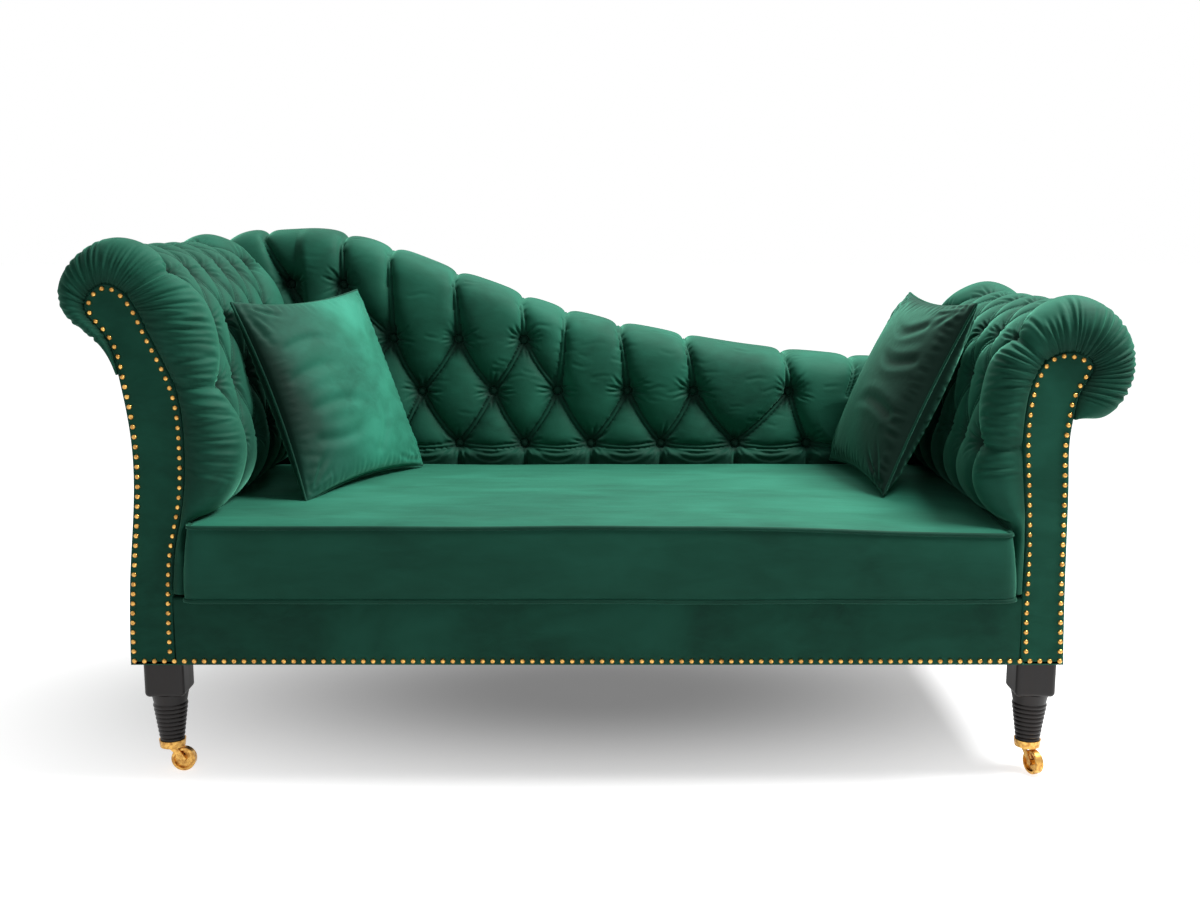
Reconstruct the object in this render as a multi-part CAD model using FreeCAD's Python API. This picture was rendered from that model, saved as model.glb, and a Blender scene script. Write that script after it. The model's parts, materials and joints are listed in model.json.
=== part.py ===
"""A fainting couch: a loose seat cushion and two throw pillows on a buttoned, scroll-armed frame.

Millimetres. +X is to the right as seen from the front, +Y runs from the front edge to the back, +Z is up.
The origin is on the floor, under the middle of the couch's box.
"""

import FreeCAD, Part
import math
import os

V = FreeCAD.Vector

# Overall sizes
LENGTH = 1800.0  # over the two scrolls
FRONT_Y = -380.0  # front of the arm facings
SEAT_BACK_Y = 192.0  # where the seat cushion meets the back
REAR_Y = 415.0  # outside of the rear cover
ARM_END_Y = 200.0  # rear end of both arms
BASE_Z = 212.0  # underside of the upholstered base
RAIL_H = 122.0  # height of the upholstered front rail
CUSHION_T = 128.0  # seat cushion, seam to seam
CUSHION_CROWN = 15.0
CUSHION_LIP = 35.0  # how far the cushion stands in front of the facings
CUSHION_CORNER = 19.0  # how far the lip's corners reach past the cushion's sides

# Board, cover and layer thicknesses
BOARD_T = 28.0
FACING_T = 12.0
COVER_T = 6.0
REAR_FACING_T = 5.0
DUST_T = 2.0
DECK_T = 4.0
WEB_T = 1.0
CLEAR = 0.4  # between a soft piece and its neighbours
FIT = 0.5  # between the cushion's sides and the arms, each side

# Buttons, nails and piping
BUTTON_R = 7.6
BUTTON_T = 5.0
BUTTON_LIFT = 0.68  # above the bottom of its well
NAIL_R = 4.6
NAIL_PITCH = 17.2
NAIL_INSET = 8.0
PIPING_R = 4.5

# Arms: everything above the cushion's top seam is measured from it
DRAWN_SEAT = 250.0  # rise of that seam above the base in the outlines below
SEAT_SIDE = 202.0  # from the end of the couch to an arm's inner side at the cushion
ARM_BULGE = 73.0  # how far the arms' padding stands over the cushion
LEFT = {
    "name": "left",
    "side": -1,
    "outer": [(87, 0), (94, 152), (108, 292), (110, 378), (101, 464), (94, 506), (69, 578), (44, 618)],
    "crown": (78, 657),
    "inner": [(129, 618), (146, 581), (180, 506), (194, 460), (199, 388), (192, 282), (176, 210),
              (167, 128), (165, 0)],
    "pad": [(94, 506), (80, 540), (60, 568), (35, 588), (10, 610), (0, 640), (5, 670), (22, 696), (52, 716),
            (90, 727), (135, 718), (174, 698), (205, 662), (231, 618), (247, 563), (259, 503), (272, 445),
            (283, 388), (274, 338), (250, 292), (222, 268), (203, 253), (202, 190), (202, 128)],
    "belly": (30, 594),
    "rows": [(22, 690), (97, 726), (189, 686), (240, 590), (265, 487), (283, 382), (246, 288)],
}
RIGHT = {
    "name": "right",
    "side": 1,
    "outer": [(97, 0), (101, 117), (104, 258), (106, 327), (107, 405), (104, 430), (91, 483), (76, 522)],
    "crown": (108, 543),
    "inner": [(150, 532), (175, 496), (184, 456), (187, 395), (184, 344), (180, 292), (176, 222),
              (175, 128), (172, 0)],
    "pad": [(104, 430), (74, 431), (49, 434), (19, 461), (2, 500), (2, 545), (13, 582), (40, 610), (68, 624),
            (100, 631), (140, 622), (176, 602), (206, 573), (226, 540), (237, 503), (246, 455), (258, 390),
            (262, 350), (254, 305), (229, 273), (203, 253), (202, 190), (202, 128)],
    "belly": (28, 452),
    "rows": [(16, 590), (115, 630), (205, 575), (239, 490), (258, 385), (236, 278)],
}
ARM_PITCH = 96.0  # between buttons of one row, along the arm
ARM_FIRST = 52.0  # first button behind the front of the facing
ARM_ROLL = 20.0  # how far the pad's front edge rounds over

# Tufting
TUFT_FOLD = 15.0  # depth of a fold half way between two buttons
TUFT_WELL = 32.0  # depth of a button's well
SEAT_HALF = 10.5  # half the width of a button's seat
OUTER_SPLIT = 5  # point of a facing's outer edge where its panel ends and the pad starts

# Back: its top edge as (share of its length, rise above the base)
BACK_TOP = [
    (0.0, 690.0), (0.026, 724.0), (0.08, 734.0), (0.13, 736.0), (0.18, 724.0), (0.23, 699.0), (0.28, 668.0),
    (0.355, 625.0), (0.43, 582.0), (0.5, 549.0), (0.57, 525.0), (0.69, 490.0), (0.77, 476.0), (0.84, 466.0),
    (1.0, 448.0),
]
BACK_RAKE = 0.08
BACK_IN = 88.0  # from the couch's end to the end of the back
ARM_GAP = 3.0  # between the back's padding and the arms' rear ends
BACK_COLUMNS = [-654.0, -597.0, -541.0, -438.0, -378.0, -299.0, -226.0, -160.0, -90.0, -19.0, 58.0, 129.0, 198.0,
                287.0, 401.0, 440.0, 520.0, 590.0, 660.0]  # of buttons, from the couch's middle
BACK_FIRST_HIGH = True  # the first column has its buttons on the even rows, counted from 1
BACK_ROWS = [296.0, 406.0, 517.0, 631.0]  # rise of each row above the base
BACK_LOW_FOLD = 272.0  # where the lowest folds run out
BACK_ROLL = 78.0  # how far the roll reaches down behind the frame
BACK_LEDGE = 66.0  # least distance from the top edge to a row that still has buttons
PLEAT_DROP = 7.0
UPRIGHT_GAPS = [0, 2, 5, 7]  # the gaps between springs that hold an upright
UPRIGHT_W = 60.0
TOP_RAIL_H = 60.0
WEB_W = 50.0

# Seat
BRACE_X = [-250.0, 250.0]
BRACE_H = 50.0
BLOCK_SIZE = 74.0
BLOCK_H = 40.0
SPRING_COUNT = 9
SPRING_WIRE_R = 1.8
SPRING_HALF_W = 24.0
SPRING_BEND_R = 12.0
CLIP_L = 16.0
CLIP_H = 5.0

# Legs and castors
LEG_BLOCK = 70.0
LEG_BLOCK_H = 66.0
LEG_NECK_H = 18.0
LEG_TOP_R = 28.5
LEG_FOOT_R = 17.5
LEG_RIBS = 10
LEG_RIB_DEPTH = 2.2
LEG_INSET_X = 135.5  # from the end of the couch to the leg's axis
LEG_INSET_Y = 54.0  # from the front of the facings, and from the rear
BOLT_R = 4.0
BOLT_L = 60.0
CASTOR_H = 48.0
WHEEL_R = 21.5
WHEEL_W = 14.0
WHEEL_WEB = 5.0
HUB_R = 5.5
TRAIL = 19.0
AXLE_R = 2.5
STEM_R = 4.0
STEM_L = 34.0
SOCKET_R = 7.0
COLLAR_H = 11.0
COLLAR_T = 2.0
CHEEK_T = 2.5
CROWN_T = 2.5  # the fork's top plate
RUNNING = 0.05  # radial clearance of a shaft in its hole
SIDE_PLAY = 0.4
SWIVELS = {"left_front": 0.0, "right_front": -70.0, "left_rear": 25.0, "right_rear": 160.0}

# Throw pillows: centre, then the turn, lean and roll in degrees
PILLOW_W = 384.0
PILLOW_T = 110.0
PILLOWS = {
    "left_pillow": (V(385.4 - LENGTH / 2, -34.4, 651.6), 64.0, 22.5, -1.1),
    "right_pillow": (V(LENGTH / 2 - 316.4, 8.0, 650.0), -84.7, 24.6, 0.1),
}

HALF = LENGTH / 2
BACK_HALF = HALF - BACK_IN
SEAT_Z = BASE_Z + RAIL_H
SEAM_RISE = RAIL_H + CUSHION_T
POST_Y = FRONT_Y + FACING_T
FRAME_TOP = SEAT_Z - DECK_T - 2 * SPRING_WIRE_R - 1.0
REAR_FRAME_Y = REAR_Y - COVER_T - BOARD_T
PAD_BACK_Y = REAR_FRAME_Y - 2 * WEB_T
SIDE_OUT = BACK_HALF - COVER_T
SIDE_IN = SIDE_OUT - BOARD_T
ARM_REAR_Y = ARM_END_Y + REAR_FACING_T


def export(name, *solids):
    shape = solids[0] if len(solids) == 1 else Part.makeCompound(list(solids))
    shape.exportStep(f"parts/{name}.step")


def box(x0, x1, y0, y1, z0, z1):
    return Part.makeBox(x1 - x0, y1 - y0, z1 - z0, V(x0, y0, z0))


def line(a, b):
    return Part.LineSegment(a, b).toShape()


def arc(a, m, b):
    """An arc through three points, or the straight run between the ends where they are in line."""
    if (m - a).cross(b - m).Length < 1e-6 * (b - a).Length ** 2:
        return line(a, b)
    return Part.Arc(a, m, b).toShape()


def spline(points):
    curve = Part.BSplineCurve()
    curve.interpolate(points)
    return curve.toShape()


def spline_part(points, first, last):
    """The stretch between two of the points of the spline through all of them."""
    curve = Part.BSplineCurve()
    curve.interpolate(points)
    ends = sorted(curve.parameter(points[k]) for k in (first, last))
    return curve.toShape(*ends)


def polygon(points):
    return Part.Face(Part.makePolygon(points + points[:1]))


def loft(wires):
    """A ruled solid through closed wires, built in the order that leaves its faces looking outwards."""
    solid = Part.makeLoft(wires, True, True)
    if solid.Shells[0].Orientation != "Forward":
        solid = Part.makeLoft(wires[::-1], True, True)
    return solid


def pipe(edges, radius):
    """A round tube along edges, which start along a known direction."""
    path = Part.Wire(edges)
    start = edges[0].valueAt(edges[0].FirstParameter)
    ring = Part.Wire(Part.Circle(start, edges[0].tangentAt(edges[0].FirstParameter), radius).toShape())
    return path.makePipeShell([ring], True, False)


def level(rise):
    """The height of a point of the outlines. Those above the cushion's seam follow it up and down."""
    if rise <= DRAWN_SEAT:
        return BASE_Z + rise * SEAM_RISE / DRAWN_SEAT
    return BASE_Z + SEAM_RISE + rise - DRAWN_SEAT


class Track:
    """A smooth line through points of a plane, read by its length. Positive heights are on its left."""

    SAMPLES = 400

    def __init__(self, points):
        curve = Part.BSplineCurve()
        curve.interpolate([V(a, 0, b) for a, b in points])
        self.length = curve.length()
        self.points = [(p.x, p.z) for p in curve.discretize(Number=self.SAMPLES + 1)]

    def at(self, distance):
        place = min(max(distance / self.length, 0.0), 1.0) * self.SAMPLES
        k = min(int(place), self.SAMPLES - 1)
        a, b = self.points[k], self.points[k + 1]
        return a[0] + (b[0] - a[0]) * (place - k), a[1] + (b[1] - a[1]) * (place - k)

    def out(self, distance, height):
        """The point that stands off the track by height."""
        step = self.length / self.SAMPLES
        a, b = self.at(distance - step), self.at(distance + step)
        size = math.dist(a, b)
        x, z = self.at(distance)
        return x - (b[1] - a[1]) / size * height, z + (b[0] - a[0]) / size * height

    def nearest(self, point):
        best = min(range(self.SAMPLES + 1), key=lambda k: math.dist(self.points[k], point))
        return best * self.length / self.SAMPLES


def tuft_points(track, rows, live, phase, sign, inset=0.0, before=(), after=()):
    """Points of a buttoned section: the bottom of each fold, and the crest between each two.

    rows are the lengths of the rows of buttons along the track, and live says which have buttons here.
    phase is 0 on a column with buttons on the even rows and 1 on one with them on the odd rows. In between,
    the fold in each strip runs from one button to the next. before and after are further valleys, each as
    (place, depth).
    """
    valleys = [(0.0, 0.0)] + list(before)
    for k in range(len(rows) - 1):
        seat = min(SEAT_HALF / (rows[k + 1] - rows[k]), 0.4)
        share = phase if k % 2 == 0 else 1.0 - phase
        share = min(max(share, seat), 1.0 - seat)
        near_button = (abs(2.0 * share - 1.0) / (1.0 - 2.0 * seat)) ** 3
        depth = TUFT_FOLD + (TUFT_WELL - TUFT_FOLD) * near_button
        if not (live[k] and live[k + 1]):
            depth = TUFT_WELL * near_button if (live[k] if share < 0.5 else live[k + 1]) else 0.0
        valleys.append((rows[k] + (rows[k + 1] - rows[k]) * share, depth))
    valleys += list(after)
    valleys.append((track.length, 0.0))
    points = []
    for (a, deep_a), (b, deep_b) in zip(valleys, valleys[1:]):
        if min(deep_a, deep_b) > TUFT_WELL - 1.0 and abs(b - a) < 3.0 * SEAT_HALF:
            middle = TUFT_WELL + 0.5
        else:
            middle = abs(deep_a - deep_b) / 6.0
        points.append(track.out(a, -sign * (deep_a + inset)))
        points.append(track.out((a + b) / 2, -sign * (middle + inset)))
    points.append(track.out(track.length, -sign * inset))
    return points


def arcs(points):
    return [arc(points[k], points[k + 1], points[k + 2]) for k in range(0, len(points) - 2, 2)]


def button(centre, direction):
    """A covered button, round-edged on its front."""
    disc = Part.makeCylinder(BUTTON_R, BUTTON_T, centre, direction)
    front = max(disc.Edges, key=lambda e: (e.CenterOfMass - centre).dot(direction))
    return disc.makeFillet(BUTTON_T * 0.45, [front])


# Arms


def arm_points(arm, points, y=0.0, grow=0.0):
    """Points of an arm's outline on the plane at y. grow moves them away from the couch's end."""
    return [V(arm["side"] * (HALF - inset - grow), y, level(rise)) for inset, rise in points]


def facing_edges(arm, y):
    outer = arm_points(arm, arm["outer"], y)
    inner = arm_points(arm, arm["inner"], y)
    crown = arm_points(arm, [arm["crown"]], y)[0]
    return [spline(outer), arc(outer[-1], crown, inner[0]), spline(inner), line(inner[-1], outer[0])]


def facing(arm, y0, y1):
    return Part.Face(Part.Wire(facing_edges(arm, y0))).extrude(V(0, y1 - y0, 0))


def arm_track(arm):
    return Track([(p.x, p.z) for p in arm_points(arm, arm["pad"])])


def arm_rows(arm, track):
    return [track.nearest((p.x, p.z)) for p in arm_points(arm, arm["rows"])]


def arm_inside(arm, y, last, first):
    """Edges from the pad's foot, up the facing's inner edge, over its crown and down to the outer end."""
    inner = arm_points(arm, arm["inner"], y, CLEAR)
    crown = arm_points(arm, [(arm["crown"][0], arm["crown"][1] + CLEAR)], y)[0]
    outer = arm_points(arm, arm["outer"], y, -CLEAR)
    split = outer[OUTER_SPLIT]
    rise = spline_part(inner, -2, 0)
    fall = spline_part(outer, -1, OUTER_SPLIT)
    return [line(last, inner[-2]), rise, arc(inner[0], crown, outer[-1]), fall, line(split, first)]


def column_stations(columns, start, end):
    """(place, phase) of the sections between start and end. columns are (place, phase) of the buttons' columns.

    Each column of buttons has two, one on each side of its buttons, and one is half way to the next column.
    """
    found = []
    for (place, phase), (following, _) in zip(columns, columns[1:] + columns[-1:]):
        found += [(place - SEAT_HALF, phase), (place + SEAT_HALF, phase), ((place + following) / 2, 0.5)]
    return [(place, phase) for place, phase in found[:-1] if start < place < end]


def arm_stations():
    """(y, phase, inset) of each section of an arm's pad, from the front to the rear."""
    front = [(FRONT_Y + 6.0, 0.5, ARM_ROLL), (FRONT_Y + 14.0, 0.5, ARM_ROLL * 0.35)]
    count = math.floor((ARM_END_Y - FRONT_Y - ARM_FIRST) / ARM_PITCH * 2) + 1
    columns = [(FRONT_Y + ARM_FIRST + k * ARM_PITCH / 2, float(k % 2)) for k in range(count)]
    tufts = column_stations(columns, FRONT_Y + 24.0, ARM_END_Y - 10.0)
    return front + [(y, phase, 0.0) for y, phase in tufts] + [(ARM_END_Y, 0.5, 0.0)]


def arm_pad(arm):
    track = arm_track(arm)
    rows = arm_rows(arm, track)
    live = [True] * len(rows)
    seam, middle, end = arm_points(arm, [(SEAT_SIDE, rise) for rise in (DRAWN_SEAT + 3, 190, 128)])
    foot = track.nearest((seam.x, seam.z))
    under = arm_points(arm, [arm["belly"]])[0]
    belly = track.nearest((under.x, under.z))
    wires = []
    for y, phase, inset in arm_stations():
        before = [(belly, 0.0), (rows[0] - SEAT_HALF, TUFT_WELL * max(0.0, 1.0 - 2.0 * phase))]
        flat = tuft_points(track, rows, live, phase, -arm["side"], inset, before, [(foot, 0.0)])
        points = [V(x, y, z) for x, z in flat[:-3]] + [V(p.x, y, p.z) for p in (seam, middle, end)]
        points[0] = arm_points(arm, arm["pad"][:1], y)[0]
        wires.append(Part.Wire(arcs(points) + arm_inside(arm, y, points[-1], points[0])))
    return loft(wires)


def arm_buttons(arm):
    track = arm_track(arm)
    made = []
    for k, row in enumerate(arm_rows(arm, track)[:-1]):
        deep = track.out(row, arm["side"] * (TUFT_WELL - BUTTON_LIFT))
        high = track.out(row, 0.0)
        outward = V(high[0] - deep[0], 0, high[1] - deep[1]).normalize()
        y = FRONT_Y + ARM_FIRST + (ARM_PITCH / 2 if k % 2 else 0.0)
        while y < ARM_END_Y - BUTTON_R:
            made.append(button(V(deep[0], y, deep[1]), outward))
            y += ARM_PITCH
    return made


def nails(track, y):
    """Domed nail heads on a front face, evenly spaced along a track."""
    count = round(track.length / NAIL_PITCH)
    places = [track.at(track.length * k / count) for k in range(count + 1)]
    return [Part.makeSphere(NAIL_R, V(x, y, z), V(0, -1, 0), 0, 90, 360) for x, z in places]


def facing_nails(arm):
    low = level(0.0) + NAIL_INSET + NAIL_PITCH
    outer = arm_points(arm, arm["outer"][1:], grow=NAIL_INSET)
    inner = arm_points(arm, arm["inner"][:-1], grow=-NAIL_INSET)
    crown = arm_points(arm, [(arm["crown"][0], arm["crown"][1] - NAIL_INSET)])
    route = [(p.x, p.z) for p in outer + crown + inner]
    start = arm_points(arm, arm["outer"][:1], grow=NAIL_INSET)[0]
    finish = arm_points(arm, arm["inner"][-1:], grow=-NAIL_INSET)[0]
    return nails(Track([(start.x, low)] + route + [(finish.x, low)]), FRONT_Y)


def outer_panel(arm):
    """The board on the outside of an arm. It follows the posts' outer edge."""
    out = arm_points(arm, arm["outer"], POST_Y)
    back = arm_points(arm, arm["outer"], POST_Y, COVER_T)
    edges = [spline_part(out, 0, OUTER_SPLIT), line(out[OUTER_SPLIT], back[OUTER_SPLIT])]
    edges += [spline_part(back, 0, OUTER_SPLIT), line(back[0], out[0])]
    return Part.Face(Part.Wire(edges)).extrude(V(0, ARM_END_Y - POST_Y, 0))


def post(arm, y):
    """A board with the facing's outline, let in for the outer panel."""
    return facing(arm, y, y + BOARD_T).cut(outer_panel(arm))


def above_rails(shape):
    """The shape less what would stand in the base's rails."""
    return shape.cut(box(-HALF, HALF, FRONT_Y, REAR_Y, BASE_Z - 1, FRAME_TOP))


def scroll_rail(arm):
    """The beam under the scroll, from the front post to the rear one."""
    x = arm["side"] * (HALF - arm["crown"][0] - 8.0)
    z = level(arm["crown"][1]) - 44.0
    half = 16.0
    return box(x - half, x + half, POST_Y + BOARD_T, ARM_END_Y - BOARD_T, z - half, z + half)


def build_arm(arm):
    name = arm["name"]
    export(f"{name}_front_post", post(arm, POST_Y))
    export(f"{name}_rear_post", above_rails(post(arm, ARM_END_Y - BOARD_T)))
    export(f"{name}_facing", facing(arm, FRONT_Y, POST_Y))
    export(f"{name}_rear_facing", above_rails(facing(arm, ARM_END_Y, ARM_REAR_Y)))
    export(f"{name}_facing_nails", *facing_nails(arm))
    export(f"{name}_arm_pad", arm_pad(arm))
    export(f"{name}_arm_buttons", *arm_buttons(arm))
    export(f"{name}_outer_panel", outer_panel(arm))


# Back


def back_rise(x):
    """Rise of the back's top edge at x, as drawn."""
    share = min(max((x + BACK_HALF) / (2 * BACK_HALF), 0.0), 1.0)
    for (a, rise_a), (b, rise_b) in zip(BACK_TOP, BACK_TOP[1:]):
        if share <= b:
            return rise_a + (rise_b - rise_a) * (share - a) / (b - a)
    return BACK_TOP[-1][1]


def back_top(x):
    return level(back_rise(x))


def back_shelf(x):
    """Height of the top rail's upper edge, which the roll sits on. It is straight between two sections."""
    stations = [place for place, _, _ in back_columns()]
    for a, b in zip(stations, stations[1:]):
        if x <= b:
            share = min(max((x - a) / (b - a), 0.0), 1.0)
            return back_top(a) * (1.0 - share) + back_top(b) * share - BACK_ROLL
    return back_top(x) - BACK_ROLL


def behind_arm(x):
    return abs(x) > HALF - SEAT_SIDE - ARM_BULGE


def back_track(x, drop):
    """The front of the back at x, from the seat deck up and over the roll, as (y, z)."""
    top = back_top(x) - drop
    face = max(SEAT_BACK_Y, ARM_REAR_Y + ARM_GAP) if behind_arm(x) else SEAT_BACK_Y
    low, seam, high = SEAT_Z + 6.0, BASE_Z + SEAM_RISE, top - 62.0
    lean = face + BACK_RAKE * (high - seam)
    half_way = (face + lean) / 2
    rear = REAR_Y - COVER_T - 4.0
    roll = [(lean + 14.0, top - 24.0), (lean + 52.0, top - 3.0), ((lean + rear) / 2 + 12.0, top)]
    tail = [(rear - 22.0, top - 16.0), (rear, top - 44.0), (rear, top - BACK_ROLL)]
    return Track([(face, low), (face, seam), (half_way, (seam + high) / 2), (lean, high)] + roll + tail)


def button_columns():
    """(x, whether its buttons are on the even rows, counted from 1) of each column that the back has room for."""
    columns = [(x, (k % 2 == 0) == BACK_FIRST_HIGH) for k, x in enumerate(BACK_COLUMNS)]
    return [(x, even) for x, even in columns if abs(x) < SIDE_OUT - 60.0]


def back_columns():
    """(x, phase, drop) of each section of the back pad. drop lowers the roll where a pleat crosses it."""
    columns = [(x, float(even)) for x, even in button_columns()]
    tufts = column_stations(columns, 12.0 - SIDE_OUT, SIDE_OUT - 12.0)
    tufts = [(x, phase, 0.0 if phase == 0.5 else PLEAT_DROP) for x, phase in tufts]
    return [(-SIDE_OUT, 0.5, 0.0)] + tufts + [(SIDE_OUT, 0.5, 0.0)]


def back_rows(x, track):
    """The rows' lengths along the track and which have buttons at x. The others share out the roll."""
    live = [rise + BACK_LEDGE < back_rise(x) and not behind_arm(x) for rise in BACK_ROWS]
    heights = [BACK_LOW_FOLD] + [rise for rise, has in zip(BACK_ROWS, live) if has]
    rows = [track.nearest((SEAT_BACK_Y, level(rise))) for rise in heights]
    over = len(BACK_ROWS) + 1 - len(rows)
    crest = track.nearest(((SEAT_BACK_Y + REAR_Y) / 2 + 30.0, back_top(x)))
    rows += [rows[-1] + (crest - rows[-1]) * (k + 1) / (over + 1) for k in range(over)]
    return rows + [crest], [not behind_arm(x)] + live + [False]


def back_section(x, phase, drop):
    track = back_track(x, drop)
    rows, live = back_rows(x, track)
    seam = track.nearest((SEAT_BACK_Y, level(DRAWN_SEAT)))
    roll_end = track.length - (track.length - rows[-1]) / 2
    flat = tuft_points(track, rows, live, 1.0 - phase, 1.0, 0.0, [(seam, 0.0)], [(roll_end, 0.0)])
    points = [V(x, y, z) for y, z in flat]
    points[-1].z = back_shelf(x)
    corners = [V(x, PAD_BACK_Y, back_shelf(x)), V(x, PAD_BACK_Y, SEAT_Z + 6.0)]
    closing = [points[-1]] + corners + [points[0]]
    return Part.Wire(arcs(points) + [line(a, b) for a, b in zip(closing, closing[1:])])


def back_pad():
    return loft([back_section(*column) for column in back_columns()])


def back_buttons():
    made = []
    for x, even in button_columns():
        track = back_track(x, PLEAT_DROP)
        rows, live = back_rows(x, track)
        for row in range(1, len(BACK_ROWS) + 1):
            if live[row] and (row % 2 == 0) == even:
                deep = track.out(rows[row], BUTTON_LIFT - TUFT_WELL)
                high = track.out(rows[row], 0.0)
                outward = V(0, high[0] - deep[0], high[1] - deep[1]).normalize()
                made.append(button(V(x, deep[0], deep[1]), outward))
    return made


def back_edge(drop, y, x0, x1):
    """Points along the underside of the roll, lowered by drop."""
    stations = [x for x, _, _ in back_columns() if x0 < x < x1]
    return [V(x, y, back_shelf(x) - drop) for x in [x0] + stations + [x1]]


def back_board(x0, x1, z0, drop, y0, y1):
    """An upright board that ends at drop below the underside of the roll."""
    top = back_edge(drop, y0, x0, x1)
    return polygon([V(x1, y0, z0), V(x0, y0, z0)] + top).extrude(V(0, y1 - y0, 0))


def back_top_rail():
    top = back_edge(0.0, REAR_FRAME_Y, -SIDE_OUT, SIDE_OUT)
    low = back_edge(TOP_RAIL_H, REAR_FRAME_Y, -SIDE_OUT, SIDE_OUT)
    return polygon(top + low[::-1]).extrude(V(0, BOARD_T, 0))


def upright_places():
    springs = spring_places()
    return [(springs[k] + springs[k + 1]) / 2 for k in UPRIGHT_GAPS]


def back_webbing():
    """Straps on the front of the back frame: upright ones, and level ones across them."""
    y = REAR_FRAME_Y - WEB_T
    low = FRAME_TOP + 12.0
    made = []
    for x in spring_places()[1:-1]:
        made.append(back_board(x - WEB_W / 2, x + WEB_W / 2, low, TOP_RAIL_H / 2, y, REAR_FRAME_Y))
    for share in (0.25, 0.6):
        z = low + (back_shelf(BACK_HALF) - TOP_RAIL_H - low) * share
        made.append(box(-SIDE_OUT, SIDE_OUT, PAD_BACK_Y, y, z, z + WEB_W))
    return made


def end_panel(side):
    """The cover on one end of the back."""
    x0, x1 = sorted((side * SIDE_OUT, side * BACK_HALF))
    top = min(back_shelf(x0), back_shelf(x1)) + BACK_ROLL * 0.6
    return box(x0, x1, ARM_REAR_Y, REAR_Y - COVER_T, BASE_Z, top)


def build_back():
    export("back_pad", back_pad())
    export("back_buttons", *back_buttons())
    export("back_top_rail", back_top_rail())
    export("back_webbing", *back_webbing())
    inside = REAR_Y - COVER_T
    posts = []
    for side, name in ((-1, "left"), (1, "right")):
        x0, x1 = sorted((side * SIDE_IN, side * SIDE_OUT))
        posts.append(back_board(x0, x1, FRAME_TOP, TOP_RAIL_H, REAR_FRAME_Y, inside))
        export(f"{name}_end_panel", end_panel(side))
    export("back_posts", *posts)
    half = UPRIGHT_W / 2
    uprights = [back_board(x - half, x + half, FRAME_TOP, TOP_RAIL_H, REAR_FRAME_Y, inside)
                for x in upright_places()]
    export("back_uprights", *uprights)
    export("rear_cover", back_board(-BACK_HALF, BACK_HALF, BASE_Z, -BACK_ROLL * 0.3, inside, REAR_Y))


# Seat frame


def zigzag(x):
    """A flat serpentine spring from the front rail to the rear rail, lying on their tops."""
    z = FRAME_TOP + SPRING_WIRE_R
    y0, y1 = POST_Y + BOARD_T / 2, REAR_FRAME_Y + BOARD_T / 2
    turns = 2 * round((y1 - y0 - 4 * SPRING_BEND_R) / (4 * SPRING_BEND_R))
    step = (y1 - y0) / turns
    r, w = step / 2, SPRING_HALF_W
    edges = [line(V(x - w, y0, z), V(x + w - r, y0, z))]
    for k in range(turns):
        y, side = y0 + k * step, 1 if k % 2 == 0 else -1
        at = x + side * (w - r)
        edges.append(arc(V(at, y, z), V(at + side * r, y + r, z), V(at, y + step, z)))
        end = x - side * (w - r) if k < turns - 1 else x - side * w
        edges.append(line(V(at, y + step, z), V(end, y + step, z)))
    return pipe(edges, SPRING_WIRE_R)


def spring_places():
    reach = HALF - SEAT_SIDE - 2 * SPRING_HALF_W
    return [-reach + 2 * reach * k / (SPRING_COUNT - 1) for k in range(SPRING_COUNT)]


def spring_clips():
    """Saddle clips over the end wires, on both rails."""
    made = []
    for x in spring_places():
        for y in (POST_Y + BOARD_T / 2, REAR_FRAME_Y + BOARD_T / 2):
            block = box(x - CLIP_L / 2, x + CLIP_L / 2, y - CLIP_H, y + CLIP_H, FRAME_TOP, FRAME_TOP + 4.6)
            slot = box(x - CLIP_L, x + CLIP_L, y - SPRING_WIRE_R - 0.1, y + SPRING_WIRE_R + 0.1,
                       FRAME_TOP - 1, FRAME_TOP + 2 * SPRING_WIRE_R + 0.1)
            made.append(block.cut(slot))
    return made


def corner_signs():
    return [("left_front", -1, -1), ("right_front", 1, -1), ("left_rear", -1, 1), ("right_rear", 1, 1)]


def leg_centre(side, end):
    y = FRONT_Y + LEG_INSET_Y if end < 0 else REAR_Y - LEG_INSET_Y
    return V(side * (HALF - LEG_INSET_X), y, 0)


def corner_blocks():
    """A block inside each corner of the base, which the leg's bolt screws into."""
    made = []
    for _, side, end in corner_signs():
        y0, y1 = (POST_Y + BOARD_T, POST_Y + BOARD_T + BLOCK_SIZE) if end < 0 else (
            REAR_FRAME_Y - BLOCK_SIZE, REAR_FRAME_Y)
        x0, x1 = sorted((side * SIDE_IN, side * (SIDE_IN - BLOCK_SIZE)))
        block = box(x0, x1, y0, y1, BASE_Z, BASE_Z + BLOCK_H)
        at = leg_centre(side, end)
        made.append(block.cut(Part.makeCylinder(BOLT_R, BLOCK_H + 2, V(at.x, at.y, BASE_Z - 1))))
    return made


def dust_cover():
    """The cloth under the seat. It stops short of the legs."""
    reach = LEG_BLOCK / 2 + 7.0
    half = HALF - LEG_INSET_X
    sheet = box(-half, half, POST_Y + 10, REAR_Y - COVER_T - 10, BASE_Z - DUST_T, BASE_Z)
    for _, side, end in corner_signs():
        at = leg_centre(side, end)
        sheet = sheet.cut(box(at.x - reach, at.x + reach, at.y - reach, at.y + reach, 0, BASE_Z + 1))
    return sheet


def rail_nails():
    """One row along the bottom of the rail and of both facings."""
    z = BASE_Z + NAIL_INSET
    first, last = (arm_points(arm, arm["outer"][:1], grow=NAIL_INSET)[0].x for arm in (LEFT, RIGHT))
    return nails(Track([(first, z), ((first + last) / 2, z), (last, z)]), FRONT_Y)


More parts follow.
